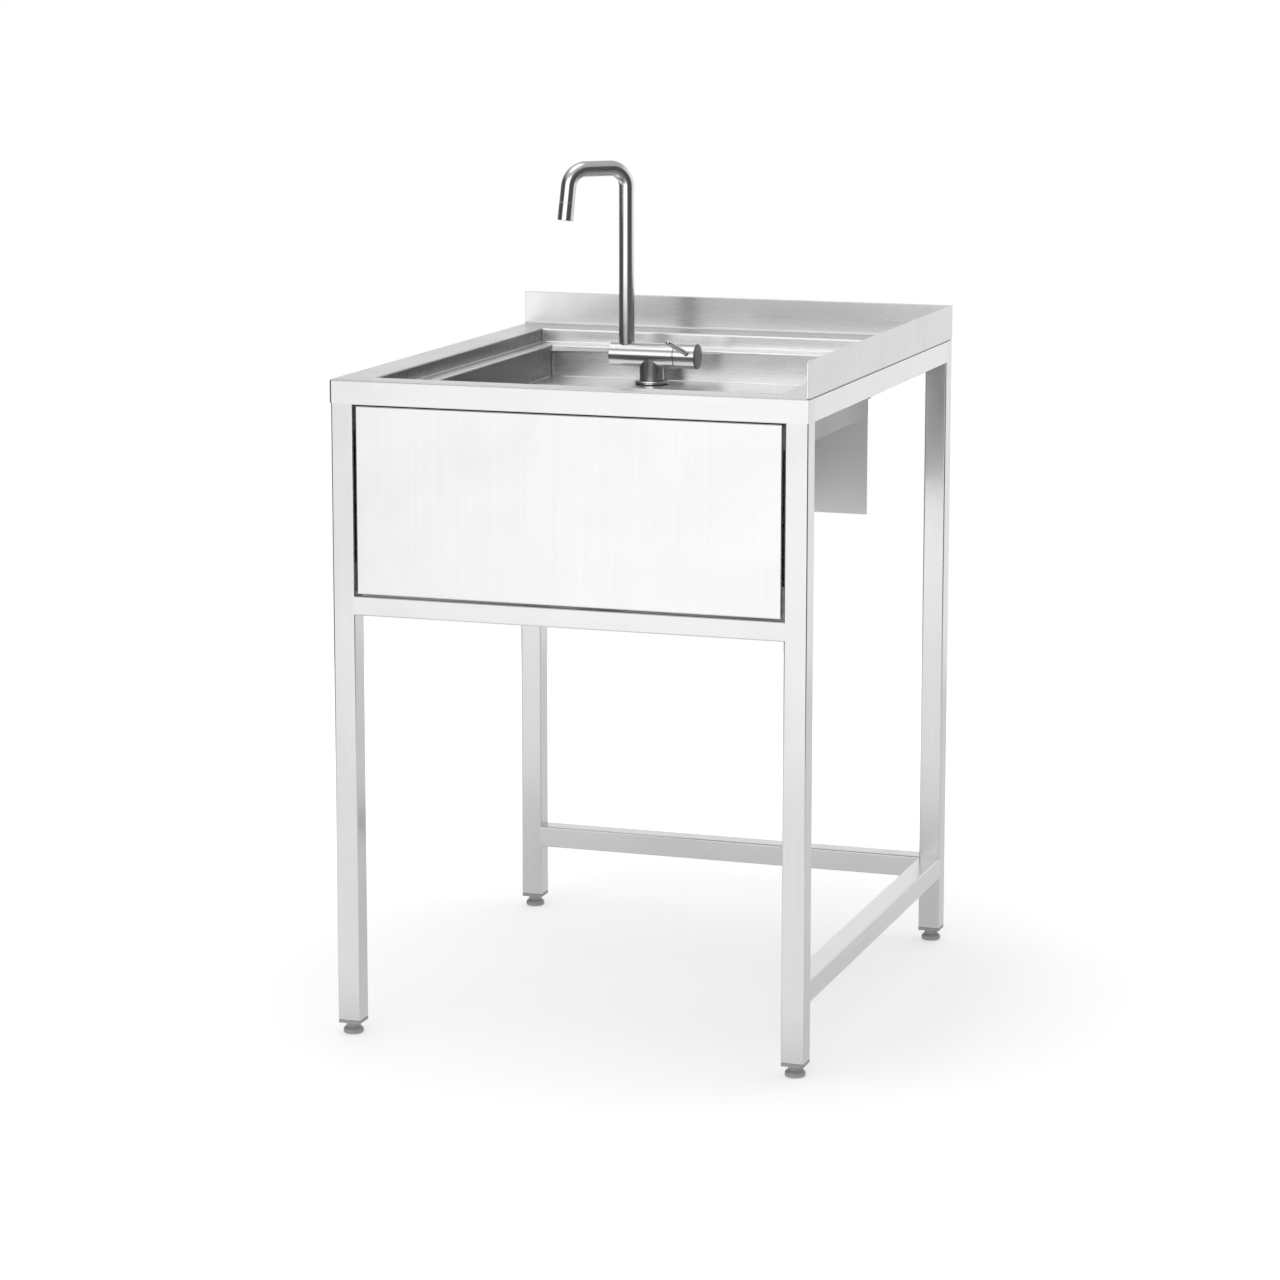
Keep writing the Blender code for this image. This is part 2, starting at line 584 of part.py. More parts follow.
# ---------------------------------------------------------------- tap, fixed side
BASE_SEAL = 0.0010
BASE_RING = 0.0040
BASE_RING_R = 0.0230
SHANK_R = 0.0150
SHANK_BORE = 0.0112
SHANK_BOTTOM = 0.7450
CLAMP_R = 0.0225
CLAMP_SEAL = 0.003
CLAMP_WASHER = 0.002
CLAMP_NUT = 0.010
INLET_R = 0.0042
INLET_HEX_R = 0.0060
INLET_SPREAD = 0.0053            # each inlet tail, from the tap's centre line
BOSS_BORE = 0.0086
BOSS_BORE_BOTTOM = 0.850
CARTRIDGE_R = 0.0130
CARTRIDGE_START = 0.0010         # cartridge ends, from the tap's centre line
CARTRIDGE_END = 0.0275


def tap_point(x, y=0.0, z=0.0):
    """A point given from the tap's centre line, with its height from the floor."""
    return (TAP_X + x, TAP_Y + y, z)


def build_tap_body():
    """Barrel, neck and riser boss in one casting, bored for the cartridge and the spout's spigot."""
    neck_bottom = DECK_Z + BASE_SEAL + BASE_RING + 3 * GAP
    body = rod("tap_body", tap_point(BARREL_LEFT, z=BARREL_Z), tap_point(BARREL_RIGHT, z=BARREL_Z),
               BARREL_R, TAP_STEEL, sides=32)
    join(body, rod("tap_neck", tap_point(0, z=neck_bottom), tap_point(0, z=BARREL_Z), NECK_R, sides=32))
    join(body, rod("tap_boss", tap_point(RISER_X, z=BARREL_Z), tap_point(RISER_X, z=SWIVEL_Z - GAP),
                   RISER_R))
    cut(body, rod("cartridge_bore", tap_point(CARTRIDGE_START - 2 * GAP, z=BARREL_Z),
                  tap_point(BARREL_RIGHT + BARREL_R, z=BARREL_Z), CARTRIDGE_R + GAP))
    cut(body, rod("spigot_bore", tap_point(RISER_X, z=BOSS_BORE_BOTTOM),
                  tap_point(RISER_X, z=SWIVEL_Z + RISER_R), BOSS_BORE, sides=20))


def build_tap_fixing():
    """Base ring and seals on the deck, with the clamp, backnut and hose tails underneath."""
    place = tap_point(0)
    inner = SHANK_R + GAP
    seal_top = DECK_Z + GAP + BASE_SEAL
    ring("tap_base_seal", inner, CLAMP_R, DECK_Z + GAP, seal_top, place, RUBBER)
    ring_bottom = seal_top + GAP
    ring_top = ring_bottom + BASE_RING
    base = [(inner, ring_top), (0.92 * BASE_RING_R, ring_top), (BASE_RING_R, ring_bottom + 0.65 * BASE_RING),
            (BASE_RING_R, ring_bottom), (inner, ring_bottom)]
    turned("tap_base_ring", base, place, TAP_STEEL, steps=32)
    ring("tap_shank", SHANK_BORE, SHANK_R, SHANK_BOTTOM, ring_top - GAP, place, BRASS)
    clamp_top = DECK_Z - SHEET - GAP
    ring("tap_clamp_seal", inner, CLAMP_R, clamp_top - CLAMP_SEAL, clamp_top, place, RUBBER)
    washer_top = clamp_top - CLAMP_SEAL - GAP
    ring("tap_clamp_washer", inner, CLAMP_R, washer_top - CLAMP_WASHER, washer_top, place, STEEL)
    nut_top = washer_top - CLAMP_WASHER - GAP
    nut("tap_backnut", SHANK_R + 2 * GAP, CLAMP_R, nut_top - CLAMP_NUT, nut_top, place, BRASS, sides=6)
    build_inlet_tail("inlet_tail_cold", INLET_SPREAD, 0.696)
    build_inlet_tail("inlet_tail_hot", -INLET_SPREAD, 0.670)


def build_inlet_tail(name, offset, bottom):
    """Thin stem up inside the shank, with a hose union at its lower end."""
    union = 0.024
    thread = 0.010
    inlet = [(0.0, DECK_Z), (INLET_R, DECK_Z), (INLET_R, bottom + union),
             (INLET_HEX_R, bottom + union - 0.002),
             (INLET_HEX_R, bottom + thread + 0.002), (INLET_HEX_R - 0.001, bottom + thread),
             (INLET_HEX_R - 0.001, bottom), (0.0, bottom)]
    turned(name, inlet, tap_point(offset), BRASS, steps=12, closed=False)


def build_cartridge():
    """Valve cartridge in the barrel, held by a screwed ring."""
    rod("tap_cartridge", tap_point(CARTRIDGE_START, z=BARREL_Z), tap_point(CARTRIDGE_END, z=BARREL_Z),
        CARTRIDGE_R, WHITE_PLASTIC, sides=20)
    ring("cartridge_nut", SPINDLE_R + 0.0004, CARTRIDGE_R, 0.0, 0.0052,
         tap_point(CARTRIDGE_END + GAP, z=BARREL_Z), BRASS, steps=20, axis=(1, 0, 0))


# ---------------------------------------------------------------- tap, turning handle
SPINDLE_R = 0.0048
SPINDLE_START = 0.0280           # places along the barrel, from the tap's centre line
SPINDLE_END = 0.0308
STEM_START = 0.0319
PIVOT_X = 0.0322                 # axis the handle rocks about
SLEEVE_START = BARREL_RIGHT + 0.0008
SLEEVE_END = 0.0656
SLEEVE_R = 0.0174
SLEEVE_BORE = 0.0150
SLEEVE_FLOOR = 0.012             # solid end of the sleeve
HANDLE_STEM_R = 0.0030
WEDGE = 0.0034                   # how much wider the handle's seam is opposite the pin
PIN_X = 0.0555
PIN_ROOT = 0.0040                # depth of the pin's socket
CAP_THICK = 0.0022
PIN_RADIAL = Vector((0.0, -math.cos(PIN_RISE), math.sin(PIN_RISE)))


def build_spindle():
    """Turning end of the cartridge, inside its nut."""
    rod("tap_spindle", tap_point(SPINDLE_START, z=BARREL_Z), tap_point(SPINDLE_END, z=BARREL_Z),
        SPINDLE_R, BRASS, sides=16)


def build_handle():
    """Sleeve over the handle's stem, closed by a dark disc, with a lever pin let into its side."""
    z = BARREL_Z
    pivot = tap_point(PIVOT_X, z=z)
    start = SLEEVE_START - PIVOT_X
    end = SLEEVE_END - PIVOT_X
    floor = end - SLEEVE_FLOOR
    stem_top = floor + 0.0046
    socket_r = HANDLE_STEM_R + GAP + 0.0001
    profile = [(0.0, end), (SLEEVE_R, end), (SLEEVE_R, start), (SLEEVE_BORE, start), (SLEEVE_BORE, floor),
               (socket_r, floor), (socket_r, stem_top + GAP), (0.0, stem_top + GAP)]
    sleeve = turned("handle_sleeve", profile, pivot, TAP_STEEL, steps=32, closed=False, axis=(1, 0, 0))
    cut(sleeve, seam_trim())
    lean = Vector((-math.sin(PIN_LEAN), 0, 0))
    direction = (PIN_RADIAL * math.cos(PIN_LEAN) + lean).normalized()
    root = Vector(tap_point(PIN_X, z=z)) + PIN_RADIAL * (SLEEVE_R - PIN_ROOT)
    length = PIN_LENGTH + PIN_ROOT
    tip = root + direction * length
    cut(sleeve, rod("pin_socket", root - direction * GAP, tip, PIN_R + GAP, sides=16))
    pin = [(0.0, length), (0.5 * PIN_R, length - 0.0004), (0.87 * PIN_R, length - 0.0014),
           (PIN_R, length - 0.0030), (PIN_R, 0.0), (0.0, 0.0)]
    turned("lever_pin", pin, root, TAP_STEEL, steps=16, closed=False, axis=direction)
    rod("handle_stem", tap_point(STEM_START, z=z), tap_point(PIVOT_X + stem_top, z=z), HANDLE_STEM_R,
        BRASS, sides=12)
    outer = end + CAP_THICK
    edge = 0.0006
    cap = [(0.0, outer), (SLEEVE_R - edge, outer), (SLEEVE_R, outer - edge), (SLEEVE_R, end + GAP),
           (0.0, end + GAP)]
    turned("handle_end_cap", cap, pivot, DARK_STEEL, steps=32, closed=False, axis=(1, 0, 0))


def seam_trim():
    """A block whose slanted face opens the sleeve's seam on the side away from the pin."""
    half = 3 * SLEEVE_R
    thick = 0.02
    trim = box("seam_trim", (-thick, -half, -half), (0.0, half, half))
    turn = Matrix.Rotation(math.atan2(WEDGE, 2 * SLEEVE_R), 3, Vector((1, 0, 0)).cross(PIN_RADIAL))
    trim.rotation_mode = "QUATERNION"
    trim.rotation_quaternion = turn.to_quaternion()
    edge = Vector(tap_point(SLEEVE_START, z=BARREL_Z)) + PIN_RADIAL * SLEEVE_R
    trim.location = edge + turn @ Vector((-thick / 2, 0, 0))
    return trim


# ---------------------------------------------------------------- spout
def spout_frame():
    """Heading of the arm, direction of the drop and the corner between them."""
    heading = Vector((math.cos(ARM_HEADING), math.sin(ARM_HEADING), 0.0))
    down = (heading * math.sin(DROP_LEAN) - Vector((0, 0, math.cos(DROP_LEAN)))).normalized()
    corner = Vector(tap_point(RISER_X, z=ARM_Z)) + heading * ARM_LENGTH
    return heading, down, corner


def bend(before, corner, after, steps):
    """Points round a bend between two straight runs that meet at a corner."""
    half = before.angle(after) / 2
    reach = BEND_R * math.tan(half)
    start = corner - before * reach
    inward = (after - before * before.dot(after)).normalized()
    centre = start + inward * BEND_R
    points = []
    for step in range(steps + 1):
        turn = 2 * half * step / steps
        points.append(centre + BEND_R * (before * math.sin(turn) - inward * math.cos(turn)))
    return points


SPOUT_WALL = 0.0014
SPIGOT_R = 0.0082
SPIGOT_BORE = 0.0060
SPIGOT_ABOVE = 0.0120            # reach of the spigot above and below the joint
SPIGOT_BELOW = 0.0215
GROOVE_R = 0.0066
GROOVE_HEIGHT = 0.0024
GROOVES = {"lower": SWIVEL_Z - 0.0169, "upper": SWIVEL_Z - 0.0109}
AERATOR_R = 0.0112
AERATOR_BORE = 0.0088


def build_spout():
    """Bent tube that turns on the boss."""
    heading, down, corner = spout_frame()
    up = Vector((0, 0, 1))
    foot = Vector(tap_point(RISER_X, z=SWIVEL_Z))
    top = Vector(tap_point(RISER_X, z=ARM_Z))
    points = [foot, *bend(up, top, heading, 7), *bend(heading, corner, down, 7),
              corner + down * AERATOR_START]
    curve = bpy.data.curves.new("spout_tube", "CURVE")
    curve.dimensions = "3D"
    curve.bevel_depth = RISER_R
    curve.bevel_resolution = 4
    spline = curve.splines.new("POLY")
    spline.points.add(len(points) - 1)
    for point, place in zip(spline.points, points):
        point.co = (*(place - foot), 1.0)
    spout = new_object("spout_tube", curve, TAP_STEEL)
    spout.location = foot
    wall = spout.modifiers.new("wall", "SOLIDIFY")
    wall.thickness = SPOUT_WALL
    wall.offset = -1.0


def build_spigot():
    """Plastic bush pressed into the spout's foot, turning in the boss on two seals in grooves."""
    place = tap_point(RISER_X)
    low = SWIVEL_Z - SPIGOT_BELOW
    upper, lower = GROOVES["upper"], GROOVES["lower"]
    spigot = [(SPIGOT_BORE, SWIVEL_Z + SPIGOT_ABOVE), (SPIGOT_R + 0.001, SWIVEL_Z + SPIGOT_ABOVE),
              (SPIGOT_R + 0.001, SWIVEL_Z + 0.0004), (SPIGOT_R, SWIVEL_Z + 0.0002),
              (SPIGOT_R, upper + GROOVE_HEIGHT), (GROOVE_R, upper + GROOVE_HEIGHT), (GROOVE_R, upper),
              (SPIGOT_R, upper), (SPIGOT_R, lower + GROOVE_HEIGHT), (GROOVE_R, lower + GROOVE_HEIGHT),
              (GROOVE_R, lower), (SPIGOT_R, lower), (SPIGOT_R, low), (SPIGOT_BORE, low)]
    turned("spout_spigot", spigot, place, WHITE_PLASTIC, steps=20)
    for name, groove in GROOVES.items():
        ring("spout_seal_" + name, GROOVE_R + 0.0002, SPIGOT_R + 0.0001, groove + GAP,
             groove + GROOVE_HEIGHT - GAP, place, RUBBER, steps=16)


def build_aerator():
    """Screwed outlet ring with a plastic strainer inside."""
    down, corner = spout_frame()[1:]
    place = corner + down * AERATOR_END
    length = AERATOR_END - AERATOR_START - GAP
    rim = 0.0006
    shell = [(AERATOR_BORE, length), (AERATOR_R, length), (AERATOR_R, rim), (AERATOR_R - rim, 0.0),
             (AERATOR_R - 3 * rim, 0.0), (AERATOR_BORE, 0.0008)]
    turned("aerator", shell, place, TAP_STEEL, steps=24, axis=-down)
    grid_r = AERATOR_BORE - GAP
    grid = [(0.0, 0.012), (grid_r, 0.012), (grid_r, 0.003), (grid_r - rim, 0.0024), (0.0, 0.0024)]
    turned("aerator_insert", grid, place, WHITE_PLASTIC, steps=16, closed=False, axis=-down)


build_legs()
build_rails()
build_feet()
build_worktop()
build_bed()
build_tray()
build_bowl()
build_panel()
build_brackets()
build_panel_screws()
build_skirt()
build_waste()
build_tap_body()
build_tap_fixing()
build_cartridge()
build_spindle()
build_handle()
build_spout()
build_spigot()
build_aerator()
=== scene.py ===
"""Portable handwash sink: the finished look of every piece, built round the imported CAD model."""

import math

import bmesh
import bpy
from mathutils import Matrix, Vector


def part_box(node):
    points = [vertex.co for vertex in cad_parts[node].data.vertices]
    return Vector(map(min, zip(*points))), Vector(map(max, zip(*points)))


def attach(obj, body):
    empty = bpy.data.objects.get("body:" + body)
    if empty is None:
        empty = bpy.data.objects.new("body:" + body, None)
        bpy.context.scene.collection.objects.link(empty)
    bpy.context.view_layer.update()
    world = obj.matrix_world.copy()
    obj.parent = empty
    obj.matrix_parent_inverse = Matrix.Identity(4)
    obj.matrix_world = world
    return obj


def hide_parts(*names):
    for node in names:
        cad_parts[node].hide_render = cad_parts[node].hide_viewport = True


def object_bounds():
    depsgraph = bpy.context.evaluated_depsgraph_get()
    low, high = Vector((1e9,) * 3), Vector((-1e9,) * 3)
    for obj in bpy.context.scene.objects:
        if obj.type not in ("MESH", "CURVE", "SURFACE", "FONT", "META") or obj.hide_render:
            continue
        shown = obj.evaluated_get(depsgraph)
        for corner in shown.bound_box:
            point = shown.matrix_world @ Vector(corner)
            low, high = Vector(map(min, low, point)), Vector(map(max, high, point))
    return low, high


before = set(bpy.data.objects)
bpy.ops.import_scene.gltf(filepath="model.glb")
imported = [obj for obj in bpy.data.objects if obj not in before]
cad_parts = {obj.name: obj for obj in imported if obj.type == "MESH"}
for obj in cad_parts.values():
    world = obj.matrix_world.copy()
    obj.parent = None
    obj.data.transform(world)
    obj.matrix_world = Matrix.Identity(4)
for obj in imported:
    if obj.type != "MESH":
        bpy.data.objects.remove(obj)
cad_low, cad_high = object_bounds()

# ------------------------------------------------------------------------------------------ studio
# A white room: a round pale floor under the sink, which glows with painted light, a broad bright wall in
# front of it, a darker wall at the left and beside the camera, and an open white background behind and
# overhead.
FLOOR_RADIUS = 2.3
WHITE = (1.0, 1.0, 1.0, 1.0)


def feed(node, *feeds, **named):
    """Feed a node's inputs, in order or by name, with values, sockets, or nodes' first outputs."""
    for key, value in [*enumerate(feeds), *named.items()]:
        inlet = node.inputs[key if isinstance(key, int) else key.replace("_", " ")]
        if isinstance(value, bpy.types.Node):
            value = value.outputs[0]
        if isinstance(value, bpy.types.NodeSocket):
            node.id_data.links.new(value, inlet)
        else:
            inlet.default_value = value
    return node


def add_node(tree, kind, *feeds, **values):
    """A node with its properties set by name, and its inputs fed; an input's key starts with in_."""
    node = tree.nodes.new(kind)
    for key, value in values.items():
        if not key.startswith("in_"):
            setattr(node, key, value)
    return feed(node, *feeds, **{key[3:]: value for key, value in values.items() if key.startswith("in_")})


def add_material(name):
    """A material with its node tree and its shader."""
    material = bpy.data.materials.new(name)
    material.use_nodes = True
    return material, material.node_tree, material.node_tree.nodes["Principled BSDF"]


def add_object(name, data):
    thing = bpy.data.objects.new(name, data)
    bpy.context.scene.collection.objects.link(thing)
    return thing


def as_mesh(bm, name="part"):
    """The mesh worked on in a bmesh, which is closed."""
    mesh = bpy.data.meshes.new(name)
    bm.to_mesh(mesh)
    bm.free()
    return mesh


floor_bm = bmesh.new()
bmesh.ops.create_circle(floor_bm, cap_ends=True, segments=96, radius=FLOOR_RADIUS)
bmesh.ops.translate(floor_bm, verts=floor_bm.verts, vec=(0.0, 0.1, cad_low.z - 0.0002))
floor = add_object("studio_floor", as_mesh(floor_bm, "studio_floor"))
floor_paint, paint, floor_shader = add_material("pale_floor")
# Painted light: the floor glows. In reflections it glows as a pool brighter towards the front; to the camera
# it glows less near the sink, which paints shade round it.
place = add_node(paint, "ShaderNodeTexCoord").outputs["Object"]
depth = add_node(paint, "ShaderNodeSeparateXYZ", place)
painted_light_pool = add_node(paint, "ShaderNodeMapRange", depth.outputs["Y"], -0.30, -0.60, 0.34, 0.66)
away = add_node(paint, "ShaderNodeVectorMath", place, operation="LENGTH")
painted_spill = add_node(paint, "ShaderNodeMapRange", away.outputs["Value"], 0.35, 1.25, 0.40, 0.62,
                 interpolation_type="SMOOTHSTEP")
looked_at = add_node(paint, "ShaderNodeLightPath")
painted_glow = add_node(paint, "ShaderNodeMapRange", looked_at.outputs["Is Camera Ray"], in_To_Min=painted_light_pool,
                in_To_Max=painted_spill)
feed(floor_shader, Base_Color=(0.93, 0.93, 0.93, 1.0), Roughness=0.9, Specular_IOR_Level=0.1,
     Emission_Color=WHITE, Emission_Strength=painted_glow)
floor.data.materials.append(floor_paint)

# Brightness of the room by compass direction: 0 is the back, then anticlockwise seen from above.
ROOM = ((0.00, 1.22), (0.09, 1.05), (0.17, 0.18), (0.33, 0.06), (0.385, 0.12), (0.442, 1.66),
        (0.552, 1.74), (0.575, 0.08), (0.74, 0.08), (0.79, 0.90), (0.86, 1.10), (1.00, 1.22))
CEILING = 0.50
room = bpy.data.worlds.new("white_room")
room.use_nodes = True
bpy.context.scene.world = room
bpy.context.scene.view_settings.view_transform = "Standard"
room_tree = room.node_tree
room_tree.nodes.clear()
direction = add_node(room_tree, "ShaderNodeTexCoord").outputs["Generated"]
compass = add_node(room_tree, "ShaderNodeMapping", direction, vector_type="POINT",
                   in_Rotation=(0.0, 0.0, math.radians(90)))
sweep = add_node(room_tree, "ShaderNodeTexGradient", compass, gradient_type="RADIAL")
walls = add_node(room_tree, "ShaderNodeValToRGB", sweep.outputs["Fac"])
walls.color_ramp.interpolation = "EASE"
ramp = walls.color_ramp.elements
for stop, (position, tone) in zip((ramp[0], ramp[1]), (ROOM[0], ROOM[-1])):
    stop.position, stop.color = position, (tone, tone, tone, 1.0)
for position, tone in ROOM[1:-1]:
    ramp.new(position).color = (tone, tone, tone, 1.0)
height = add_node(room_tree, "ShaderNodeSeparateXYZ", direction)
above = add_node(room_tree, "ShaderNodeMapRange", height.outputs["Z"], 0.40, 0.62,
                 interpolation_type="SMOOTHSTEP")
shell = add_node(room_tree, "ShaderNodeMix", data_type="RGBA", in_Factor=above, in_A=walls,
                 in_B=(CEILING, CEILING, CEILING, 1.0))
lit = add_node(room_tree, "ShaderNodeBackground", shell.outputs["Result"])
plain = add_node(room_tree, "ShaderNodeBackground", WHITE)
seen = add_node(room_tree, "ShaderNodeLightPath")
either = add_node(room_tree, "ShaderNodeMixShader", seen.outputs["Is Camera Ray"], lit, plain)
add_node(room_tree, "ShaderNodeOutputWorld", in_Surface=either)

key_light = bpy.data.lights.new("overhead_softbox", "AREA")
key_light.shape = "DISK"
key_light.size = 2.4
key_light.energy = 14.0
key = add_object("overhead_softbox", key_light)
key.location = (-0.5, -0.3, 3.4)
key.rotation_mode = "QUATERNION"
key.rotation_quaternion = (key.location - Vector((0.0, 0.0, 0.4))).to_track_quat("Z", "Y")

camera_data = bpy.data.cameras.new("camera")
camera_data.lens = 107.43
camera_data.sensor_width = 36.0
camera_data.shift_y = -0.0625
camera = add_object("camera", camera_data)
camera.location = (1.5830, -4.7813, 1.4321)
camera.rotation_euler = (math.radians(90.0 - 9.55), math.radians(-0.04), math.radians(18.55))
bpy.context.scene.camera = camera

# ----------------------------------------------------------------------------------- stand tubes
# Four legs and seven rails of 30 mm square steel tube, brushed along their length. The rails are
# welded between the legs and ground flush, so their ends run into the legs' rounded corners.
TUBE_CORNER = 0.0022
TUBE_WALL = 0.0015
CORNER_STEPS = 6
JOINT_GAP = 0.0003


def node_group(name, inputs, outputs, kind="ShaderNodeTree"):
    """A node group with named sockets: its tree, its input sockets and its output node.

    An input is given as its starting number, or as its kind where it has none.
    """
    tree = bpy.data.node_groups.new(name, kind)
    for label, value in inputs.items():
        of_kind = value if isinstance(value, str) else "Int" if isinstance(value, int) else "Float"
        socket = tree.interface.new_socket(name=label, in_out="INPUT", socket_type="NodeSocket" + of_kind)
        if value != of_kind:
            socket.default_value = value
    for label in outputs:
        of_kind = "Geometry" if label == "Geometry" else "Float"
        tree.interface.new_socket(name=label, in_out="OUTPUT", socket_type="NodeSocket" + of_kind)
    return tree, tree.nodes.new("NodeGroupInput").outputs, tree.nodes.new("NodeGroupOutput")


def calc(tree, operation, *numbers):
    return add_node(tree, "ShaderNodeMath", *numbers, operation=operation).outputs[0]


def vector_calc(tree, operation, *vectors):
    return add_node(tree, "ShaderNodeVectorMath", *vectors, operation=operation).outputs[0]


def span(tree, value, low, high):
    """The 0 to 1 value mapped between two numbers."""
    return add_node(tree, "ShaderNodeMapRange", value, clamp=False, in_To_Min=low, in_To_Max=high).outputs[0]


def brushed_grain_group():
    """Fine abrasive strokes along X of the given coordinates, and broad bands of uneven pressure."""
    tree, source, result = node_group(
        "brushed_grain", {"Coordinates": "Vector", "Stroke Length": 0.06, "Stroke Width": 0.0006},
        ("Stroke", "Band"))
    for label, spread, detail in (("Stroke", 1.0, 3.0), ("Band", 9.0, 2.0)):
        across = calc(tree, "MULTIPLY", source["Stroke Width"], spread)
        along = calc(tree, "MULTIPLY", source["Stroke Length"], math.sqrt(spread))
        size = add_node(tree, "ShaderNodeCombineXYZ", along, across, across)
        scaled = vector_calc(tree, "DIVIDE", source["Coordinates"], size)
        noise = add_node(tree, "ShaderNodeTexNoise", scaled, in_Scale=1.0, in_Detail=detail, in_Roughness=0.6)
        feed(result, **{label: noise.outputs["Fac"]})
    return tree


def worn_edge_group():
    """White along outer and inner corners, where handling and polishing have worked the metal."""
    tree, source, result = node_group("worn_edge", {"Radius": 0.001}, ("Mask",))
    soft = add_node(tree, "ShaderNodeBevel", samples=4, in_Radius=source["Radius"])
    flat = add_node(tree, "ShaderNodeNewGeometry")
    match = add_node(tree, "ShaderNodeVectorMath", soft, flat.outputs["Normal"], operation="DOT_PRODUCT")
    feed(result, add_node(tree, "ShaderNodeMapRange", match.outputs["Value"], 0.999, 0.93))
    return tree


def painted_gap_shade_group():
    """Painted shade: white in the open, black far inside narrow gaps, where little light gets in."""
    tree, source, result = node_group("deep_seam", {"Distance": 0.005}, ("Openness",))
    shade = add_node(tree, "ShaderNodeAmbientOcclusion", samples=6, in_Distance=source["Distance"])
    feed(result, add_node(tree, "ShaderNodeMapRange", shade.outputs["AO"], 0.12, 0.42,
                          interpolation_type="SMOOTHSTEP"))
    return tree


def smudge_group():
    """Faint cloudy marks left by wiping."""
    tree, source, result = node_group("wiped_smudge", {"Coordinates": "Vector", "Size": 0.12}, ("Mask",))
    scaled = vector_calc(tree, "DIVIDE", source["Coordinates"], source["Size"])
    noise = add_node(tree, "ShaderNodeTexNoise", scaled, in_Scale=1.0, in_Detail=4.0, in_Distortion=0.8)
    feed(result, add_node(tree, "ShaderNodeMapRange", noise.outputs["Fac"], 0.35, 0.75,
                          interpolation_type="SMOOTHSTEP"))
    return tree


brushed_grain = brushed_grain_group()
worn_edge = worn_edge_group()
deep_seam = painted_gap_shade_group()
wiped_smudge = smudge_group()


def paint_metal(tree, shader, tone, light, rough, height, strength, distance):
    """Feed a shader its tone scaled by the light, its roughness, and its relief."""
    colour = add_node(tree, "ShaderNodeVectorMath", tone, operation="SCALE", in_Scale=light)
    relief = add_node(tree, "ShaderNodeBump", in_Strength=strength, in_Distance=distance, in_Height=height)
    feed(shader, Base_Color=colour, Roughness=rough, Normal=relief)


def brushed_steel(name, tone, roughness, stroke=(0.06, 0.0006), contrast=0.05, grip=0.7, bump=0.00002,
                  edge=0.0012, smudge=0.04, warmth=0.0, side_shade=0.0):
    """Brushed stainless steel whose strokes follow the piece's own grain map, its colour darkened with
    painted shade deep in narrow gaps. Faces turned to the sides can be given more painted shade, as where
    their strokes run against the light."""
    material, tree, shader = add_material(name)
    feed(shader, Metallic=1.0, Anisotropic=grip, Anisotropic_Rotation=0.25,
         Tangent=add_node(tree, "ShaderNodeTangent", direction_type="UV_MAP", uv_map="grain"))
    place = add_node(tree, "ShaderNodeTexCoord").outputs
    strokes = add_node(tree, "ShaderNodeGroup", add_node(tree, "ShaderNodeUVMap", uv_map="grain"), *stroke,
                       node_tree=brushed_grain).outputs
    edges = add_node(tree, "ShaderNodeGroup", edge, node_tree=worn_edge)
    marks = add_node(tree, "ShaderNodeGroup", place["Object"], node_tree=wiped_smudge)
    gap_shade = add_node(tree, "ShaderNodeGroup", node_tree=deep_seam)
    light = calc(tree, "ADD", span(tree, strokes["Stroke"], -contrast, contrast),
                 span(tree, strokes["Band"], 1.0 - 0.6 * contrast, 1.0 + 0.6 * contrast))
    light = calc(tree, "ADD", light, span(tree, edges, 0.0, 0.05))
    light = calc(tree, "ADD", light, span(tree, marks, 0.0, -0.25 * smudge))
    # Painted shade: the colour darkens deep in narrow gaps.
    light = calc(tree, "MULTIPLY", light, span(tree, gap_shade, 0.12, 1.0))
    # Painted shade: the colour of faces turned to the sides is darkened.
    if side_shade:
        sideways = calc(tree, "ABSOLUTE", add_node(tree, "ShaderNodeSeparateXYZ", place["Normal"]))
        light = calc(tree, "MULTIPLY", light, span(tree, sideways, 1.0, 1.0 - side_shade))
    rough = calc(tree, "ADD", span(tree, strokes["Stroke"], roughness - 0.06, roughness + 0.06),
                 span(tree, marks, 0.0, smudge))
    rough = calc(tree, "ADD", rough, span(tree, edges, 0.0, -0.05))
    paint_metal(tree, shader, (tone * (1 + warmth), tone, tone * (1 - warmth)), light, rough,
                strokes["Stroke"], 0.35, bump)
    return material


def even_shading(mesh, angle=32.0):
    """Smooth curved runs, keep corners sharp, and keep flat faces flat beside their bends."""
    mesh.shade_smooth()
    mesh.set_sharp_from_angle(angle=math.radians(angle))
    return through_modifiers(mesh, ("WEIGHTED_NORMAL", {"keep_sharp": True, "weight": 100}))


def settled(work):
    """The plain mesh of a working object after its modifiers; the object is removed."""
    bpy.context.view_layer.update()
    mesh = bpy.data.meshes.new_from_object(work.evaluated_get(bpy.context.evaluated_depsgraph_get()))
    work.modifiers.clear()
    bpy.data.objects.remove(work, do_unlink=True)
    return mesh


def through_modifiers(mesh, *steps):
    """The mesh after a run of modifiers, each a (type, settings) pair."""
    work = add_object("work", mesh)
    for kind, settings in steps:
        modifier = work.modifiers.new(kind.lower(), kind)
        for key, value in settings.items():
            setattr(modifier, key, value)
    return settled(work)


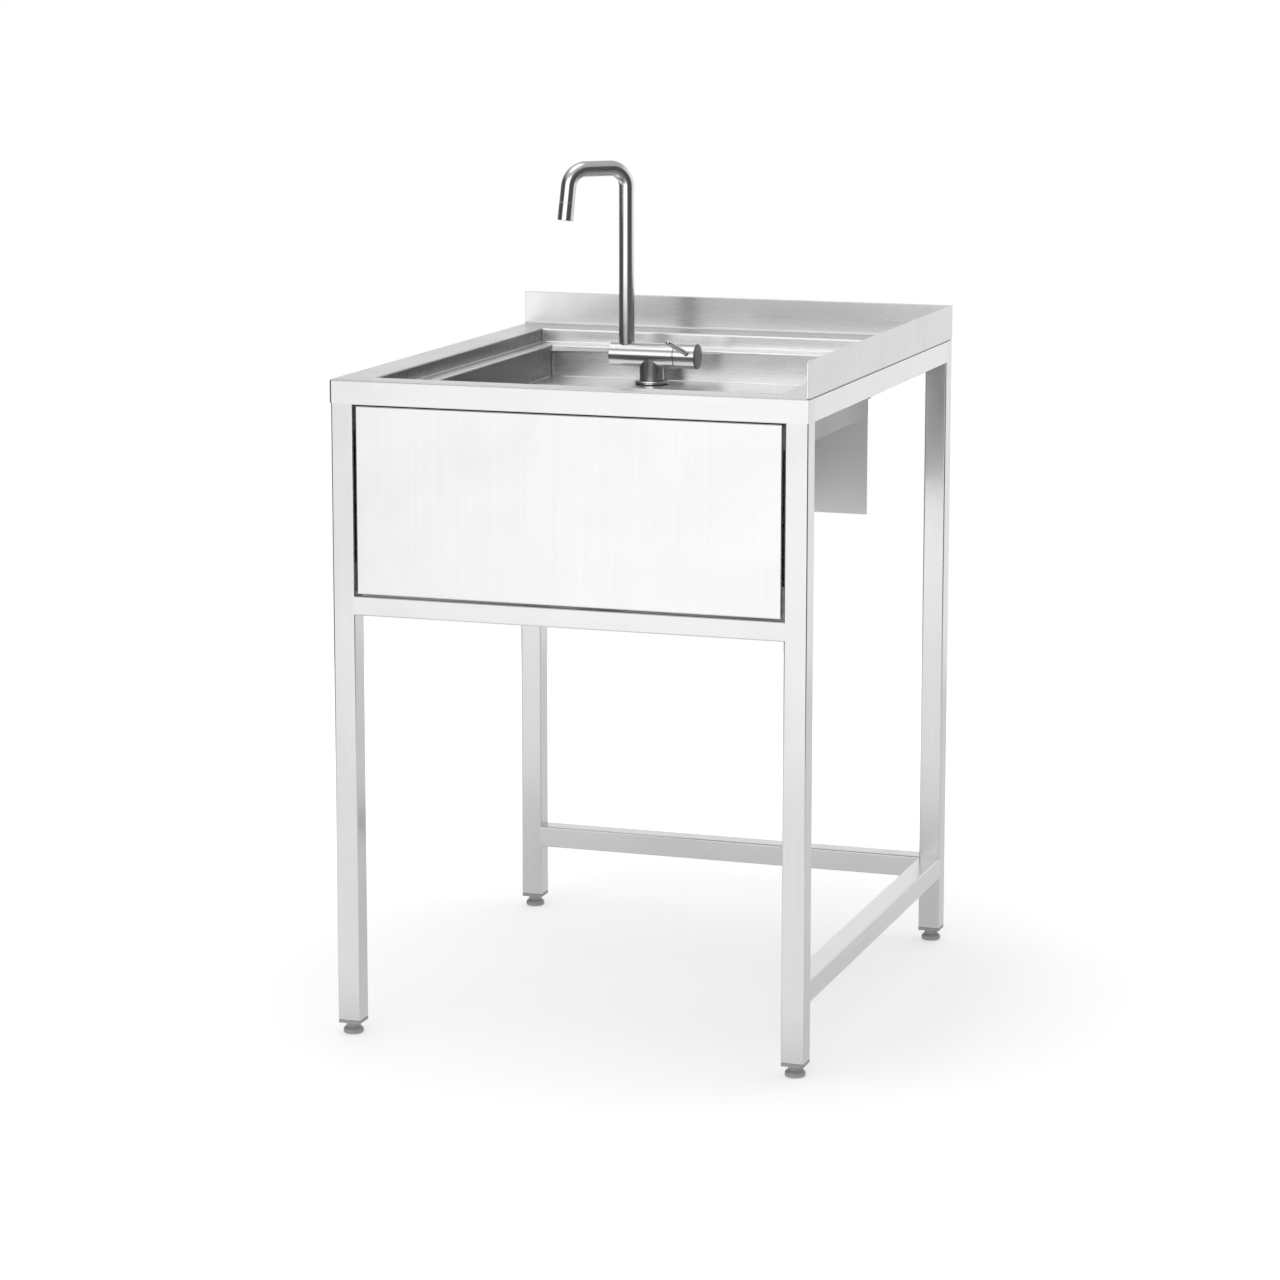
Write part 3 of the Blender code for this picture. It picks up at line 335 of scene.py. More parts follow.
def run_grain(mesh, along):
    """Give the mesh its grain map: along(normal) is the direction of a face's strokes."""
    layer = mesh.uv_layers.get("grain") or mesh.uv_layers.new(name="grain")
    for face in mesh.polygons:
        normal, stroke = face.normal, along(face.normal)
        stroke = (stroke - normal * stroke.dot(normal)).normalized()
        across = normal.cross(stroke)
        for corner in face.loop_indices:
            point = mesh.vertices[mesh.loops[corner].vertex_index].co
            layer.data[corner].uv = (point.dot(stroke), point.dot(across))
    return mesh


def add_piece(name, mesh, body, material, slot, *nodes):
    """A finished piece: it moves with a body and stands for the named CAD nodes."""
    mesh.name = name
    mesh.materials.clear()
    mesh.materials.append(material)
    piece = add_object(name, mesh)
    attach(piece, body)
    if nodes:
        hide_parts(*nodes)


def shape_tree(name, inputs):
    """A Geometry Nodes tree with named inputs."""
    return node_group(name, {"Geometry": "Geometry", **inputs, "Material": "Material"}, ("Geometry",),
                      "GeometryNodeTree")


def end_shape(tree, source, result, shape):
    """End a tree with real geometry in its material."""
    real = add_node(tree, "GeometryNodeRealizeInstances", shape)
    feed(result, add_node(tree, "GeometryNodeSetMaterial", real, in_Material=source["Material"]))
    return tree


def square_tube_tree():
    """Hollow square section with round corners, standing on its end at the origin."""
    tree, source, result = shape_tree("square_tube", {
        "Width": 0.03, "Height": 0.03, "Corner": TUBE_CORNER, "Wall": TUBE_WALL, "Length": 1.0})
    both = add_node(tree, "GeometryNodeJoinGeometry")
    for step in (0.0, 2.0):
        inset = calc(tree, "MULTIPLY", source["Wall"], step)
        outline = add_node(tree, "GeometryNodeCurvePrimitiveQuadrilateral",
                           calc(tree, "SUBTRACT", source["Width"], inset),
                           calc(tree, "SUBTRACT", source["Height"], inset))
        corner = calc(tree, "MULTIPLY_ADD", source["Wall"], -step / 2, source["Corner"])
        feed(both, add_node(tree, "GeometryNodeFilletCurve", outline, mode="POLY", in_Radius=corner,
                            in_Count=CORNER_STEPS))
    face = add_node(tree, "GeometryNodeFillCurve", both)
    reach = add_node(tree, "ShaderNodeCombineXYZ", in_Z=source["Length"])
    drawn = add_node(tree, "GeometryNodeExtrudeMesh", face, mode="FACES", in_Individual=False,
                     in_Offset=reach)
    whole = add_node(tree, "GeometryNodeJoinGeometry", drawn)
    feed(whole, add_node(tree, "GeometryNodeFlipFaces", face))
    closed = add_node(tree, "GeometryNodeMergeByDistance", whole, in_Distance=0.000001)
    return end_shape(tree, source, result, closed)


def grown(tree, material, **values):
    """The plain mesh that a Geometry Nodes tree makes with these named inputs."""
    work = add_object("work", bpy.data.meshes.new("work"))
    modifier = work.modifiers.new("shape", "NODES")
    modifier.node_group = tree
    values["Material"] = material
    for item in tree.interface.items_tree:
        label = item.name.replace(" ", "_")
        if item.in_out == "INPUT" and label in values:
            modifier[item.identifier] = values[label]
    return settled(work)


tube_tree = square_tube_tree()
stand_steel = brushed_steel("stand_steel", 0.57, 0.22, stroke=(0.12, 0.0010), contrast=0.05, grip=0.5)
TURN = {0: Matrix(((0, 0, 1), (1, 0, 0), (0, 1, 0))), 1: Matrix(((-1, 0, 0), (0, 0, 1), (0, 1, 0))),
        2: Matrix.Identity(3)}


def add_tube(name, node, axis):
    """A tube in the place of a CAD tube, drawn along the given axis; a rail runs into its legs."""
    low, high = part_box(node)
    if axis != 2:
        low[axis] -= JOINT_GAP + 0.96 * TUBE_CORNER
        high[axis] += JOINT_GAP + 0.96 * TUBE_CORNER
    size = high - low
    width, height = (size[other] for other in range(3) if other != axis)
    mesh = grown(tube_tree, stand_steel, Width=width, Height=height, Length=size[axis])
    start = (low + high) / 2
    start[axis] = low[axis]
    mesh.transform(Matrix.Translation(start) @ TURN[axis].to_4x4())
    stroke = Vector((axis == 0, axis == 1, axis == 2))
    side = Vector((axis != 0, axis == 0, 0))
    mesh = run_grain(even_shading(mesh), lambda normal: side if abs(normal.dot(stroke)) > 0.9 else stroke)
    add_piece(name, mesh, "stand", stand_steel, "stand_steel", node)


for corner in ("front_left", "front_right", "back_left", "back_right"):
    add_tube("tube_leg_" + corner, "leg_" + corner, 2)
for rail, axis in (("top_front", 0), ("top_back", 0), ("bottom_back", 0), ("lower_front", 0),
                   ("top_left", 1), ("top_right", 1), ("bottom_right", 1)):
    add_tube("tube_rail_" + rail, "rail_" + rail, axis)


# -------------------------------------------------------------------------- leg plugs and feet
# A square grey plastic plug closes each tube, its flange as wide as the tube. A flared plastic pad
# is moulded on a threaded stem that screws up into the plug to level the sink.
def block(low, high):
    """A block between two corners."""
    low, high = Vector(low), Vector(high)
    bm = bmesh.new()
    bmesh.ops.create_cube(bm, size=1.0, matrix=Matrix.Translation((low + high) / 2)
                          @ Matrix.Diagonal((*(high - low), 1.0)))
    return as_mesh(bm)


def combined(mesh, *tools):
    """The mesh joined with or cut by others, each given as an (operation, mesh) pair."""
    steps, helpers = [], []
    for operation, tool in tools:
        helpers.append(add_object("tool", tool))
        steps.append(("BOOLEAN", {"operation": operation, "solver": "EXACT", "object": helpers[-1]}))
    result = through_modifiers(mesh, *steps)
    for helper in helpers:
        bpy.data.objects.remove(helper, do_unlink=True)
    return result


def cut(mesh, *tools):
    """The mesh with others cut away."""
    return combined(mesh, *(("DIFFERENCE", tool) for tool in tools))


def rounded(mesh, radius_of, steps=4):
    """Round the mesh's edges: radius_of(middle, direction) is an edge's radius, or 0 to keep it."""
    bm = bmesh.new()
    bm.from_mesh(mesh)
    bmesh.ops.remove_doubles(bm, verts=bm.verts, dist=0.000002)
    bmesh.ops.dissolve_limit(bm, angle_limit=math.radians(0.5), verts=bm.verts, edges=bm.edges)
    radii = []
    for edge in bm.edges:
        start, end = edge.verts[0].co, edge.verts[1].co
        bent = edge.is_manifold and edge.calc_face_angle() > math.radians(8)
        radii.append(radius_of((start + end) / 2, (end - start).normalized()) if bent else 0.0)
    widest = max(radii)
    weight = bm.edges.layers.float.new("bevel_weight_edge")
    for edge, radius in zip(bm.edges, radii):
        edge[weight] = radius / widest
    bm.to_mesh(mesh)
    bm.free()
    return through_modifiers(mesh, ("BEVEL", {
        "limit_method": "WEIGHT", "width": widest, "segments": steps, "use_clamp_overlap": False}))


def moved(mesh, place, axis=None):
    """The mesh moved to a place, with its Z axis aimed along an axis where one is given."""
    if axis is not None:
        mesh.transform(Vector(axis).to_track_quat("Z", "Y").to_matrix().to_4x4())
    mesh.transform(Matrix.Translation(place))
    return mesh


def turned(profile, place=(0, 0, 0), axis=(0, 0, 1), steps=48):
    """A profile of (radius, height) points turned about an axis, with its grain round the axis.

    A profile that starts and ends on the axis is closed by itself; any other is closed as a ring.
    """
    ring_shaped = profile[0][0] > 0 or profile[-1][0] > 0
    points = list(profile) + ([profile[0]] if ring_shaped else [])
    widest = max(radius for radius, height in profile)
    bm = bmesh.new()
    grain = bm.loops.layers.uv.new("grain")
    columns = []
    for step in range(steps):
        turn = 2 * math.pi * step / steps
        columns.append([bm.verts.new((radius * math.cos(turn), radius * math.sin(turn), height))
                        for radius, height in points[:-1 if ring_shaped else None]])
    travelled = 0.0
    for index in range(len(points) - 1):
        nearer, further = index, (index + 1) % len(columns[0])
        run = math.dist(points[index], points[index + 1])
        for step in range(steps):
            here, there = columns[step], columns[(step + 1) % steps]
            corners = [(here[nearer], step, 0.0), (here[further], step, run),
                       (there[further], step + 1, run), (there[nearer], step + 1, 0.0)]
            if points[index][0] == 0:
                corners = [(columns[0][nearer], step + 0.5, 0.0)] + corners[1:3]
            elif points[index + 1][0] == 0:
                corners = [corners[0], (columns[0][further], step + 0.5, run), corners[3]]
            face = bm.faces.new([corner[0] for corner in corners])
            for loop, corner in zip(face.loops, corners):
                loop[grain].uv = (corner[1] / steps * 2 * math.pi * widest, travelled + corner[2])
        travelled += run
    bmesh.ops.delete(bm, geom=[vert for vert in bm.verts if not vert.link_faces], context="VERTS")
    bmesh.ops.recalc_face_normals(bm, faces=bm.faces)
    return moved(as_mesh(bm), place, axis)


def rod(radius, start, end, *where, **how):
    """A plain round rod from one height to another, turned like any profile."""
    return turned([(0.0, start), (radius, start), (radius, end), (0.0, end)], *where, **how)


def gathered(*meshes):
    """One mesh made of several closed shells."""
    bm = bmesh.new()
    for mesh in meshes:
        bm.from_mesh(mesh)
    return as_mesh(bm)


def thread_tree():
    """A screw thread's ridge wound up +Z round the origin."""
    tree, source, result = shape_tree("screw_thread", {
        "Radius": 0.004, "Pitch": 0.00125, "Depth": 0.0005, "Length": 0.02})
    inset = calc(tree, "SUBTRACT", source["Radius"], source["Depth"])
    wound = add_node(tree, "GeometryNodeCurveSpiral", in_Resolution=24, in_Start_Radius=inset,
                     in_Rotations=calc(tree, "DIVIDE", source["Length"], source["Pitch"]),
                     in_End_Radius=inset, in_Height=source["Length"])
    ridge = add_node(tree, "GeometryNodeCurvePrimitiveCircle", in_Resolution=6, in_Radius=source["Depth"])
    solid = add_node(tree, "GeometryNodeCurveToMesh", wound, ridge, in_Fill_Caps=True)
    return end_shape(tree, source, result, solid)


thread_ridge = thread_tree()


def thread(material, radius, pitch, depth, length, place):
    """A screw thread's ridge wound upwards from a place."""
    ridge = grown(thread_ridge, material, Radius=radius, Pitch=pitch, Depth=depth, Length=length)
    return moved(ridge, place)


def moulded_grain_group():
    """Fine speckle and broad cloudiness for moulded, cast and machined surfaces."""
    tree, source, result = node_group("fine_speckle", {"Coordinates": "Vector", "Size": 0.0008},
                                      ("Speckle", "Cloud"))
    for label, spread in (("Speckle", 1.0), ("Cloud", 18.0)):
        size = calc(tree, "MULTIPLY", source["Size"], spread)
        scaled = vector_calc(tree, "DIVIDE", source["Coordinates"], size)
        noise = add_node(tree, "ShaderNodeTexNoise", scaled, in_Scale=1.0, in_Detail=3.0)
        feed(result, **{label: noise.outputs["Fac"]})
    return tree


fine_speckle = moulded_grain_group()


def speckled(name, colour, roughness, metallic=0.0, size=0.0008, contrast=0.08, edge=0.0006, wear=0.15,
             bump=0.00003):
    """A moulded, cast or machined surface: speckle, cloudy tone and paler worn edges."""
    material, tree, shader = add_material(name)
    feed(shader, Metallic=metallic)
    place = add_node(tree, "ShaderNodeTexCoord").outputs["Object"]
    speckle, cloud = add_node(tree, "ShaderNodeGroup", place, size, node_tree=fine_speckle).outputs
    edges = add_node(tree, "ShaderNodeGroup", edge, node_tree=worn_edge)
    light = calc(tree, "MULTIPLY", span(tree, speckle, 1 - contrast, 1 + contrast),
                 span(tree, cloud, 1 - contrast, 1 + contrast))
    light = calc(tree, "ADD", light, span(tree, edges, 0.0, wear))
    paint_metal(tree, shader, colour, light, span(tree, cloud, roughness - 0.12, roughness + 0.12), speckle,
                0.4, bump)
    return material


grey_plastic = speckled("moulded_grey_plastic", (0.33, 0.33, 0.325), 0.5, contrast=0.10, wear=0.25)
PLUG_FLANGE = 0.0045
STEM_R = 0.0040
PAD = [(0.0, 0.0), (0.0112, 0.0), (0.0126, 0.0006), (0.0132, 0.0018), (0.0132, 0.0046), (0.0127, 0.0062),
       (0.0114, 0.0074), (0.0098, 0.0084), (0.0091, 0.0096), (0.0089, 0.0112)]

for corner in ("front_left", "front_right", "back_left", "back_right"):
    low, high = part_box("leg_plug_" + corner)
    centre = (low + high) / 2
    stub = (high.x - low.x) / 2 - TUBE_WALL - 0.0006
    lip = block(low, (high.x, high.y, low.z + PLUG_FLANGE))
    lip = rounded(lip, lambda middle, way: 0.0021 if abs(way.z) > 0.9 else 0.0006)
    shaft = block((centre.x - stub, centre.y - stub, low.z + PLUG_FLANGE / 2),
                  (centre.x + stub, centre.y + stub, high.z))
    shaft = rounded(shaft, lambda middle, way: 0.0010)
    bore = rod(STEM_R + 0.0003, low.z - 0.01, high.z + 0.01, (centre.x, centre.y, 0), steps=32)
    plug = even_shading(cut(combined(lip, ("UNION", shaft)), bore))
    add_piece("moulded_plug_" + corner, plug, "stand", grey_plastic, "grey_plastic", "leg_plug_" + corner)

    low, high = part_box("foot_" + corner)
    core = STEM_R - 0.0006
    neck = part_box("leg_plug_" + corner)[0].z - 0.0003
    pad = turned(PAD + [(0.0089, neck), (core, neck), (core, high.z), (0.0, high.z)], steps=48)
    ridge = thread(grey_plastic, STEM_R, 0.00125, 0.0005, high.z - neck - 0.004, (0, 0, neck + 0.001))
    foot = moved(gathered(pad, ridge), ((low.x + high.x) / 2, (low.y + high.y) / 2, 0.0))
    add_piece("levelling_pad_" + corner, even_shading(foot, 40), "foot_body_" + corner, grey_plastic,
              "grey_plastic", "foot_" + corner)

# ------------------------------------------------------------------------------- sealing tape
# A strip of dark foam tape on the stand's top ring, under the worktop's sheet. It is stuck down flat to keep
# the sheet from rattling. Its near-black colour is partly painted shade for the seam, and shows as a thin
# dark line along the right side.
tape = speckled("foam_tape", (0.035, 0.035, 0.035), 0.8, size=0.0012, contrast=0.2, wear=0.0)


def refinish(material, *nodes):
    """Give CAD pieces that are shown as they are a detailed material."""
    for node in nodes:
        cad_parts[node].data.materials.clear()
        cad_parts[node].data.materials.append(material)


refinish(tape, "bedding_tape")

# ----------------------------------------------------------------------------------- worktop
# One folded sheet of 1.2 mm stainless steel: a flat rim with a lip down the front and the left, and
# hemmed upstands with a coved foot along the back and the right. Brushed from left to right.
SHEET = 0.0012
UPSTAND = 0.0026
FOLD = 0.0034
TRAY_FOLD = 0.0026
COVE = 0.0032
EPS = 0.0001
top_steel = brushed_steel("worktop_steel", 0.60, 0.27, stroke=(0.10, 0.0008), contrast=0.045)
worktop_low, worktop_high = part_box("worktop")
tray_low, tray_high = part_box("recess_tray")
RIM_TOP = tray_high.z


def same(first, second):
    return abs(first - second) < EPS


def sheet_grain(normal):
    """Strokes run left to right, and so up and down on the sides that are folded down."""
    return Vector((0, 0, 1)) if abs(normal.x) > 0.95 else Vector((1, 0, 0))


def worktop_edge(middle, way):
    x, y, z = middle
    if same(z, RIM_TOP) and (same(y, worktop_low.y) or same(x, worktop_low.x)):
        return FOLD
    if same(z, RIM_TOP - SHEET) and (same(y, worktop_low.y + SHEET) or same(x, worktop_low.x + SHEET)):
        return FOLD - SHEET
    if abs(way.z) > 0.9 and same(x, worktop_low.x) and same(y, worktop_low.y):
        return FOLD
    if abs(way.z) > 0.9 and same(x, worktop_low.x + SHEET) and same(y, worktop_low.y + SHEET):
        return FOLD - SHEET
    return 0.0


plate = block((worktop_low.x, worktop_low.y, RIM_TOP - SHEET), (worktop_high.x, worktop_high.y, RIM_TOP))
lip_front = block(worktop_low, (worktop_high.x, worktop_low.y + SHEET, RIM_TOP - SHEET / 2))
lip_left = block(worktop_low, (worktop_low.x + SHEET, worktop_high.y, RIM_TOP - SHEET / 2))
spread = TRAY_FOLD - SHEET + 0.0004
opening = block((tray_low.x - spread, tray_low.y - spread, RIM_TOP - 0.01),
                (tray_high.x + spread, tray_high.y + spread, RIM_TOP + 0.01))
rim = rounded(combined(plate, ("UNION", lip_front), ("UNION", lip_left), ("DIFFERENCE", opening)),
              worktop_edge, 6)
foot_z = RIM_TOP - 0.0001
upstands = combined(
    block((worktop_low.x, worktop_high.y - UPSTAND, foot_z), worktop_high),
    ("UNION", block((worktop_high.x - UPSTAND, worktop_low.y, foot_z), worktop_high)))
upstands = rounded(upstands, lambda middle, way: 0.0011 if same(middle.z, worktop_high.z) else (
    0.0020 if abs(way.z) > 0.9 and same(middle.x, worktop_high.x - UPSTAND)
    and same(middle.y, worktop_high.y - UPSTAND) else 0.0004 if abs(way.z) > 0.9 else 0.0), 4)


def cove(start, end, out):
    """A hollow-faced strip from start to end in the angle under an upstand, reaching out and up."""
    way = (end - start).normalized()
    bm = bmesh.new()
    section = [Vector((0, 0, 0)), out * COVE]
    for step in range(1, 8):
        turn = math.radians(90) * step / 8
        section.append(out * COVE * (1 - math.sin(turn)) + Vector((0, 0, COVE * (1 - math.cos(turn)))))
    section.append(Vector((0, 0, COVE)))
    near_end = [bm.verts.new(start + point) for point in section]
    far_end = [bm.verts.new(end + point) for point in section]
    bm.faces.new(near_end)
    bm.faces.new(far_end)
    for index in range(len(section)):
        after = (index + 1) % len(section)
        bm.faces.new([near_end[index], near_end[after], far_end[after], far_end[index]])
    bmesh.ops.recalc_face_normals(bm, faces=bm.faces)
    return as_mesh(bm)


corner_x, corner_y = worktop_high.x - UPSTAND, worktop_high.y - UPSTAND
back_cove = cove(Vector((worktop_low.x, corner_y, foot_z)), Vector((corner_x, corner_y, foot_z)),
                 Vector((0, -1, 0)))
right_cove = cove(Vector((corner_x, worktop_low.y + FOLD, foot_z)), Vector((corner_x, corner_y, foot_z)),
                  Vector((-1, 0, 0)))
worktop = run_grain(even_shading(gathered(rim, upstands, back_cove, right_cove)), sheet_grain)
add_piece("folded_worktop", worktop, "stand", top_steel, "top_steel", "worktop")

# --------------------------------------------------------------------------------- recess tray
# A stepped tray folded from sheet and welded flush into the worktop: a shallow ledge all round, then
# a well with a raised tap deck at the back. Its upright corners are closed by dotted welds.
LEDGE_Z = RIM_TOP - 0.019
LEDGES = (0.026, 0.024, 0.020, 0.031)        # left, front, right, back
DECK_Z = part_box("rear_skirt")[1].z + SHEET + 0.0003
DECK_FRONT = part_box("rear_skirt")[0].y - SHEET - 0.0003
FLOOR_Z = tray_low.z + SHEET
TRAY_COVE = 0.0016
TAP_HOLE_R = 0.0175
recess_low = Vector((tray_low.x + SHEET, tray_low.y + SHEET, LEDGE_Z))
recess_high = Vector((tray_high.x - SHEET, tray_high.y - SHEET, RIM_TOP))
well_low = Vector((recess_low.x + LEDGES[0], recess_low.y + LEDGES[1], DECK_Z))
well_high = Vector((recess_high.x - LEDGES[2], recess_high.y - LEDGES[3], RIM_TOP))


def tray_edge(middle, way):
    x, y, z = middle
    if abs(way.z) > 0.9:
        return TRAY_COVE if z < RIM_TOP else 0.0
    if same(z, RIM_TOP) and recess_low.x - EPS < x < recess_high.x + EPS \
            and recess_low.y - EPS < y < recess_high.y + EPS:
        return TRAY_FOLD
    if same(z, LEDGE_Z) and well_low.x - EPS < x < well_high.x + EPS \
            and well_low.y - EPS < y < well_high.y + EPS:
        return TRAY_FOLD
    if same(z, DECK_Z) and same(y, DECK_FRONT):
        return TRAY_FOLD
    return TRAY_COVE if z < RIM_TOP - EPS else 0.0


brim = TRAY_FOLD + 0.0002
hollow = combined(
    block(recess_low, recess_high),
    ("UNION", block((recess_low.x - brim, recess_low.y - brim, RIM_TOP),
                    (recess_high.x + brim, recess_high.y + brim, RIM_TOP + 0.01))),
    ("UNION", block(well_low, well_high)),
    ("UNION", block((well_low.x, well_low.y, FLOOR_Z), (well_high.x, DECK_FRONT, RIM_TOP))))
hollow = rounded(hollow, tray_edge, 4)
bm = bmesh.new()
bm.from_mesh(hollow)
bmesh.ops.delete(bm, geom=[face for face in bm.faces if face.calc_center_median().z > RIM_TOP + 0.0001],
                 context="FACES")
bm.to_mesh(hollow)
bm.free()
tray = through_modifiers(hollow, ("SOLIDIFY", {"thickness": SHEET, "offset": 1.0, "use_even_offset": True}))
bowl_low, bowl_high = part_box("sink_bowl")
bowl_low = Vector((bowl_low.x + SHEET, bowl_low.y + SHEET, bowl_low.z + SHEET))
bowl_high = Vector((bowl_high.x - SHEET, bowl_high.y - SHEET, FLOOR_Z))
BOWL_CORNER = 0.050
BOWL_FOOT = 0.022
BOWL_BRIM = 0.004
reach = BOWL_BRIM + 0.0004
basin_hole = rounded(block((bowl_low.x - reach, bowl_low.y - reach, FLOOR_Z - 0.01),
                           (bowl_high.x + reach, bowl_high.y + reach, FLOOR_Z + 0.01)),
                     lambda middle, way: BOWL_CORNER + reach if abs(way.z) > 0.9 else 0.0, 10)
tap_low, tap_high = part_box("tap_base_ring")
TAP_X, TAP_Y = (tap_low.x + tap_high.x) / 2, (tap_low.y + tap_high.y) / 2
TAP_FOOT = (TAP_X, TAP_Y, 0)
tap_hole = rod(TAP_HOLE_R, DECK_Z - 0.01, DECK_Z + 0.01, TAP_FOOT)
groove_x = recess_low.x + 0.0085
groove = block((groove_x - 0.0005, recess_low.y + 0.004, LEDGE_Z - 0.0004),
               (groove_x + 0.0005, recess_high.y - 0.004, LEDGE_Z + 0.004))
tray = cut(tray, basin_hole, tap_hole, groove)
# The recess's steel is the worktop's steel painted lighter, with painted shade darkening its left and right
# walls.
painted_tray_steel = brushed_steel("recess_steel", 0.82, 0.27, stroke=(0.10, 0.0008), contrast=0.045,
                           side_shade=0.68)
tray = run_grain(even_shading(tray), sheet_grain)
add_piece("stepped_recess", tray, "stand", painted_tray_steel, "top_steel", "recess_tray")


def weld_tree():
    """A row of small overlapping weld dots from one point to another."""
    tree, source, result = shape_tree("weld_dots", {
        "Start": "Vector", "End": "Vector", "Spacing": 0.0016, "Dot": 0.0009, "Seed": 3})
    line = add_node(tree, "GeometryNodeCurvePrimitiveLine", in_Start=source["Start"], in_End=source["End"])
    points = add_node(tree, "GeometryNodeCurveToPoints", line, mode="LENGTH", in_Length=source["Spacing"])
    dot = add_node(tree, "GeometryNodeMeshIcoSphere", in_Subdivisions=2, in_Radius=source["Dot"])
    vary = add_node(tree, "FunctionNodeRandomValue", data_type="FLOAT", in_Seed=source["Seed"])
    vary.inputs[2].default_value, vary.inputs[3].default_value = 0.75, 1.1
    row = add_node(tree, "GeometryNodeInstanceOnPoints", points, in_Instance=dot, in_Scale=vary.outputs[1])
    return end_shape(tree, source, result, row)


weld_dots = weld_tree()
weld_steel = speckled("weld_steel", (0.55, 0.54, 0.52), 0.38, metallic=1.0, size=0.0006, contrast=0.2)
WELD_INSET = 0.0004
welds = []
for first_seed, low, high, floors, top in (
        (0, recess_low, recess_high, (LEDGE_Z, LEDGE_Z), RIM_TOP - 0.004),
        (10, well_low, well_high, (FLOOR_Z, DECK_Z), LEDGE_Z - 0.003)):
    for number in range(4):
        x = (low.x + WELD_INSET, high.x - WELD_INSET)[number % 2]
        y = (low.y + WELD_INSET, high.y - WELD_INSET)[number // 2]
        welds.append(grown(weld_dots, weld_steel, Start=(x, y, floors[number // 2] + 0.0015),
                           End=(x, y, top), Seed=first_seed + number))
welds = gathered(*welds)
welds.shade_smooth()
add_piece("recess_corner_welds", welds, "stand", weld_steel, "top_steel")

# --------------------------------------------------------------------------------------- basin
# A deep-drawn hand basin of stainless steel, one shell with round corners and a wide curve at its
# foot. Its brim is folded over, welded into the tray's floor and ground flush.
bowl_middle = (bowl_low + bowl_high) / 2
bowl_half = (bowl_high - bowl_low) / 2
FOLD_STEPS = 8
ARC_STEPS = 10
DRAIN_R = 0.027

# Half of the basin's section, from the brim to the floor: distance in from the wall, and height.
section = [(-BOWL_BRIM - 0.0002, FLOOR_Z)]
for step in range(FOLD_STEPS + 1):
    turn = math.radians(90) * step / FOLD_STEPS
    section.append((-BOWL_BRIM * (1 - math.sin(turn)), FLOOR_Z - BOWL_BRIM * (1 - math.cos(turn))))
for step in range(ARC_STEPS + 1):
    turn = math.radians(90) * step / ARC_STEPS
    section.append((BOWL_FOOT * (1 - math.cos(turn)), bowl_low.z + BOWL_FOOT * (1 - math.sin(turn))))


def basin_ring(inset, height):
    """Points round a rectangle with round corners, anticlockwise from above."""
    ring = []
    radius = BOWL_CORNER - inset
    for number, (side_x, side_y) in enumerate(((1, 1), (-1, 1), (-1, -1), (1, -1))):
        x = bowl_middle.x + side_x * (bowl_half.x - BOWL_CORNER)
        y = bowl_middle.y + side_y * (bowl_half.y - BOWL_CORNER)
        for step in range(ARC_STEPS + 1):
            turn = math.radians(90) * (number + step / ARC_STEPS)
            ring.append((x + radius * math.cos(turn), y + radius * math.sin(turn), height))
    return ring


bm = bmesh.new()
rings = [[bm.verts.new(point) for point in basin_ring(inset, height)] for inset, height in section]
for upper, lower in zip(rings, rings[1:]):
    for index in range(len(upper)):
        after = (index + 1) % len(upper)
        bm.faces.new((upper[after], upper[index], lower[index], lower[after]))
bm.faces.new(rings[-1][::-1])
basin = through_modifiers(as_mesh(bm), ("SOLIDIFY", {"thickness": SHEET, "offset": 1.0}))
DRAIN = (bowl_middle.x, bowl_middle.y, 0)
drain_hole = rod(DRAIN_R, bowl_low.z - 0.01, bowl_low.z + 0.01, DRAIN)
basin = run_grain(even_shading(cut(basin, drain_hole)), sheet_grain)
add_piece("drawn_basin", basin, "stand", top_steel, "top_steel", "sink_bowl")

# --------------------------------------------------------------------------------- front panel
# A flat panel with folded sides and rear flanges, brushed up and down, with a shadow gap all round.
# Two plates welded behind the front legs take its four pan-head screws.
PANEL_FOLD = 0.0022
FLANGE = 0.018
SCREW_HOLE_R = 0.0022
panel_steel = brushed_steel("panel_steel", 0.60, 0.18, stroke=(0.20, 0.0009), contrast=0.045, grip=0.4)
low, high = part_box("front_panel")


def panel_edge(middle, way):
    outside = [same(middle[axis], low[axis]) or same(middle[axis], high[axis]) for axis in range(3)]
    if same(middle.y, high.y):
        return 0.0008 if outside[0] or outside[2] else 0.0
    return PANEL_FOLD if sum(outside) > 1 else 0.0


def upright_grain(normal):
    return Vector((1, 0, 0)) if abs(normal.z) > 0.9 else Vector((0, 0, 1))


panel = cut(block(low, high),
            block(low + Vector((SHEET,) * 3), high - Vector((SHEET,) * 3)),
            block((low.x + FLANGE, high.y - 0.005, low.z + FLANGE),
                  (high.x - FLANGE, high.y + 0.005, high.z - FLANGE)))
panel = rounded(panel, panel_edge, 4)
screw_holes = []
for number in range(1, 5):
    screw_low, screw_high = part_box("panel_screw_%d" % number)
    middle = (screw_low + screw_high) / 2
    screw_holes.append(rod(SCREW_HOLE_R, -0.008, 0.02, (middle.x, high.y - 0.004, middle.z), (0, 1, 0), 24))
panel = run_grain(even_shading(cut(panel, gathered(*screw_holes))), upright_grain)
add_piece("folded_front_panel", panel, "stand", panel_steel, "top_steel", "front_panel")

for side in ("left", "right"):
    low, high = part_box("panel_bracket_" + side)
    plate = cut(rounded(block(low, high), lambda middle, way: 0.0004, 2), gathered(*screw_holes))
    plate = run_grain(even_shading(plate), upright_grain)
    add_piece("bracket_plate_" + side, plate, "stand", stand_steel, "stand_steel", "panel_bracket_" + side)

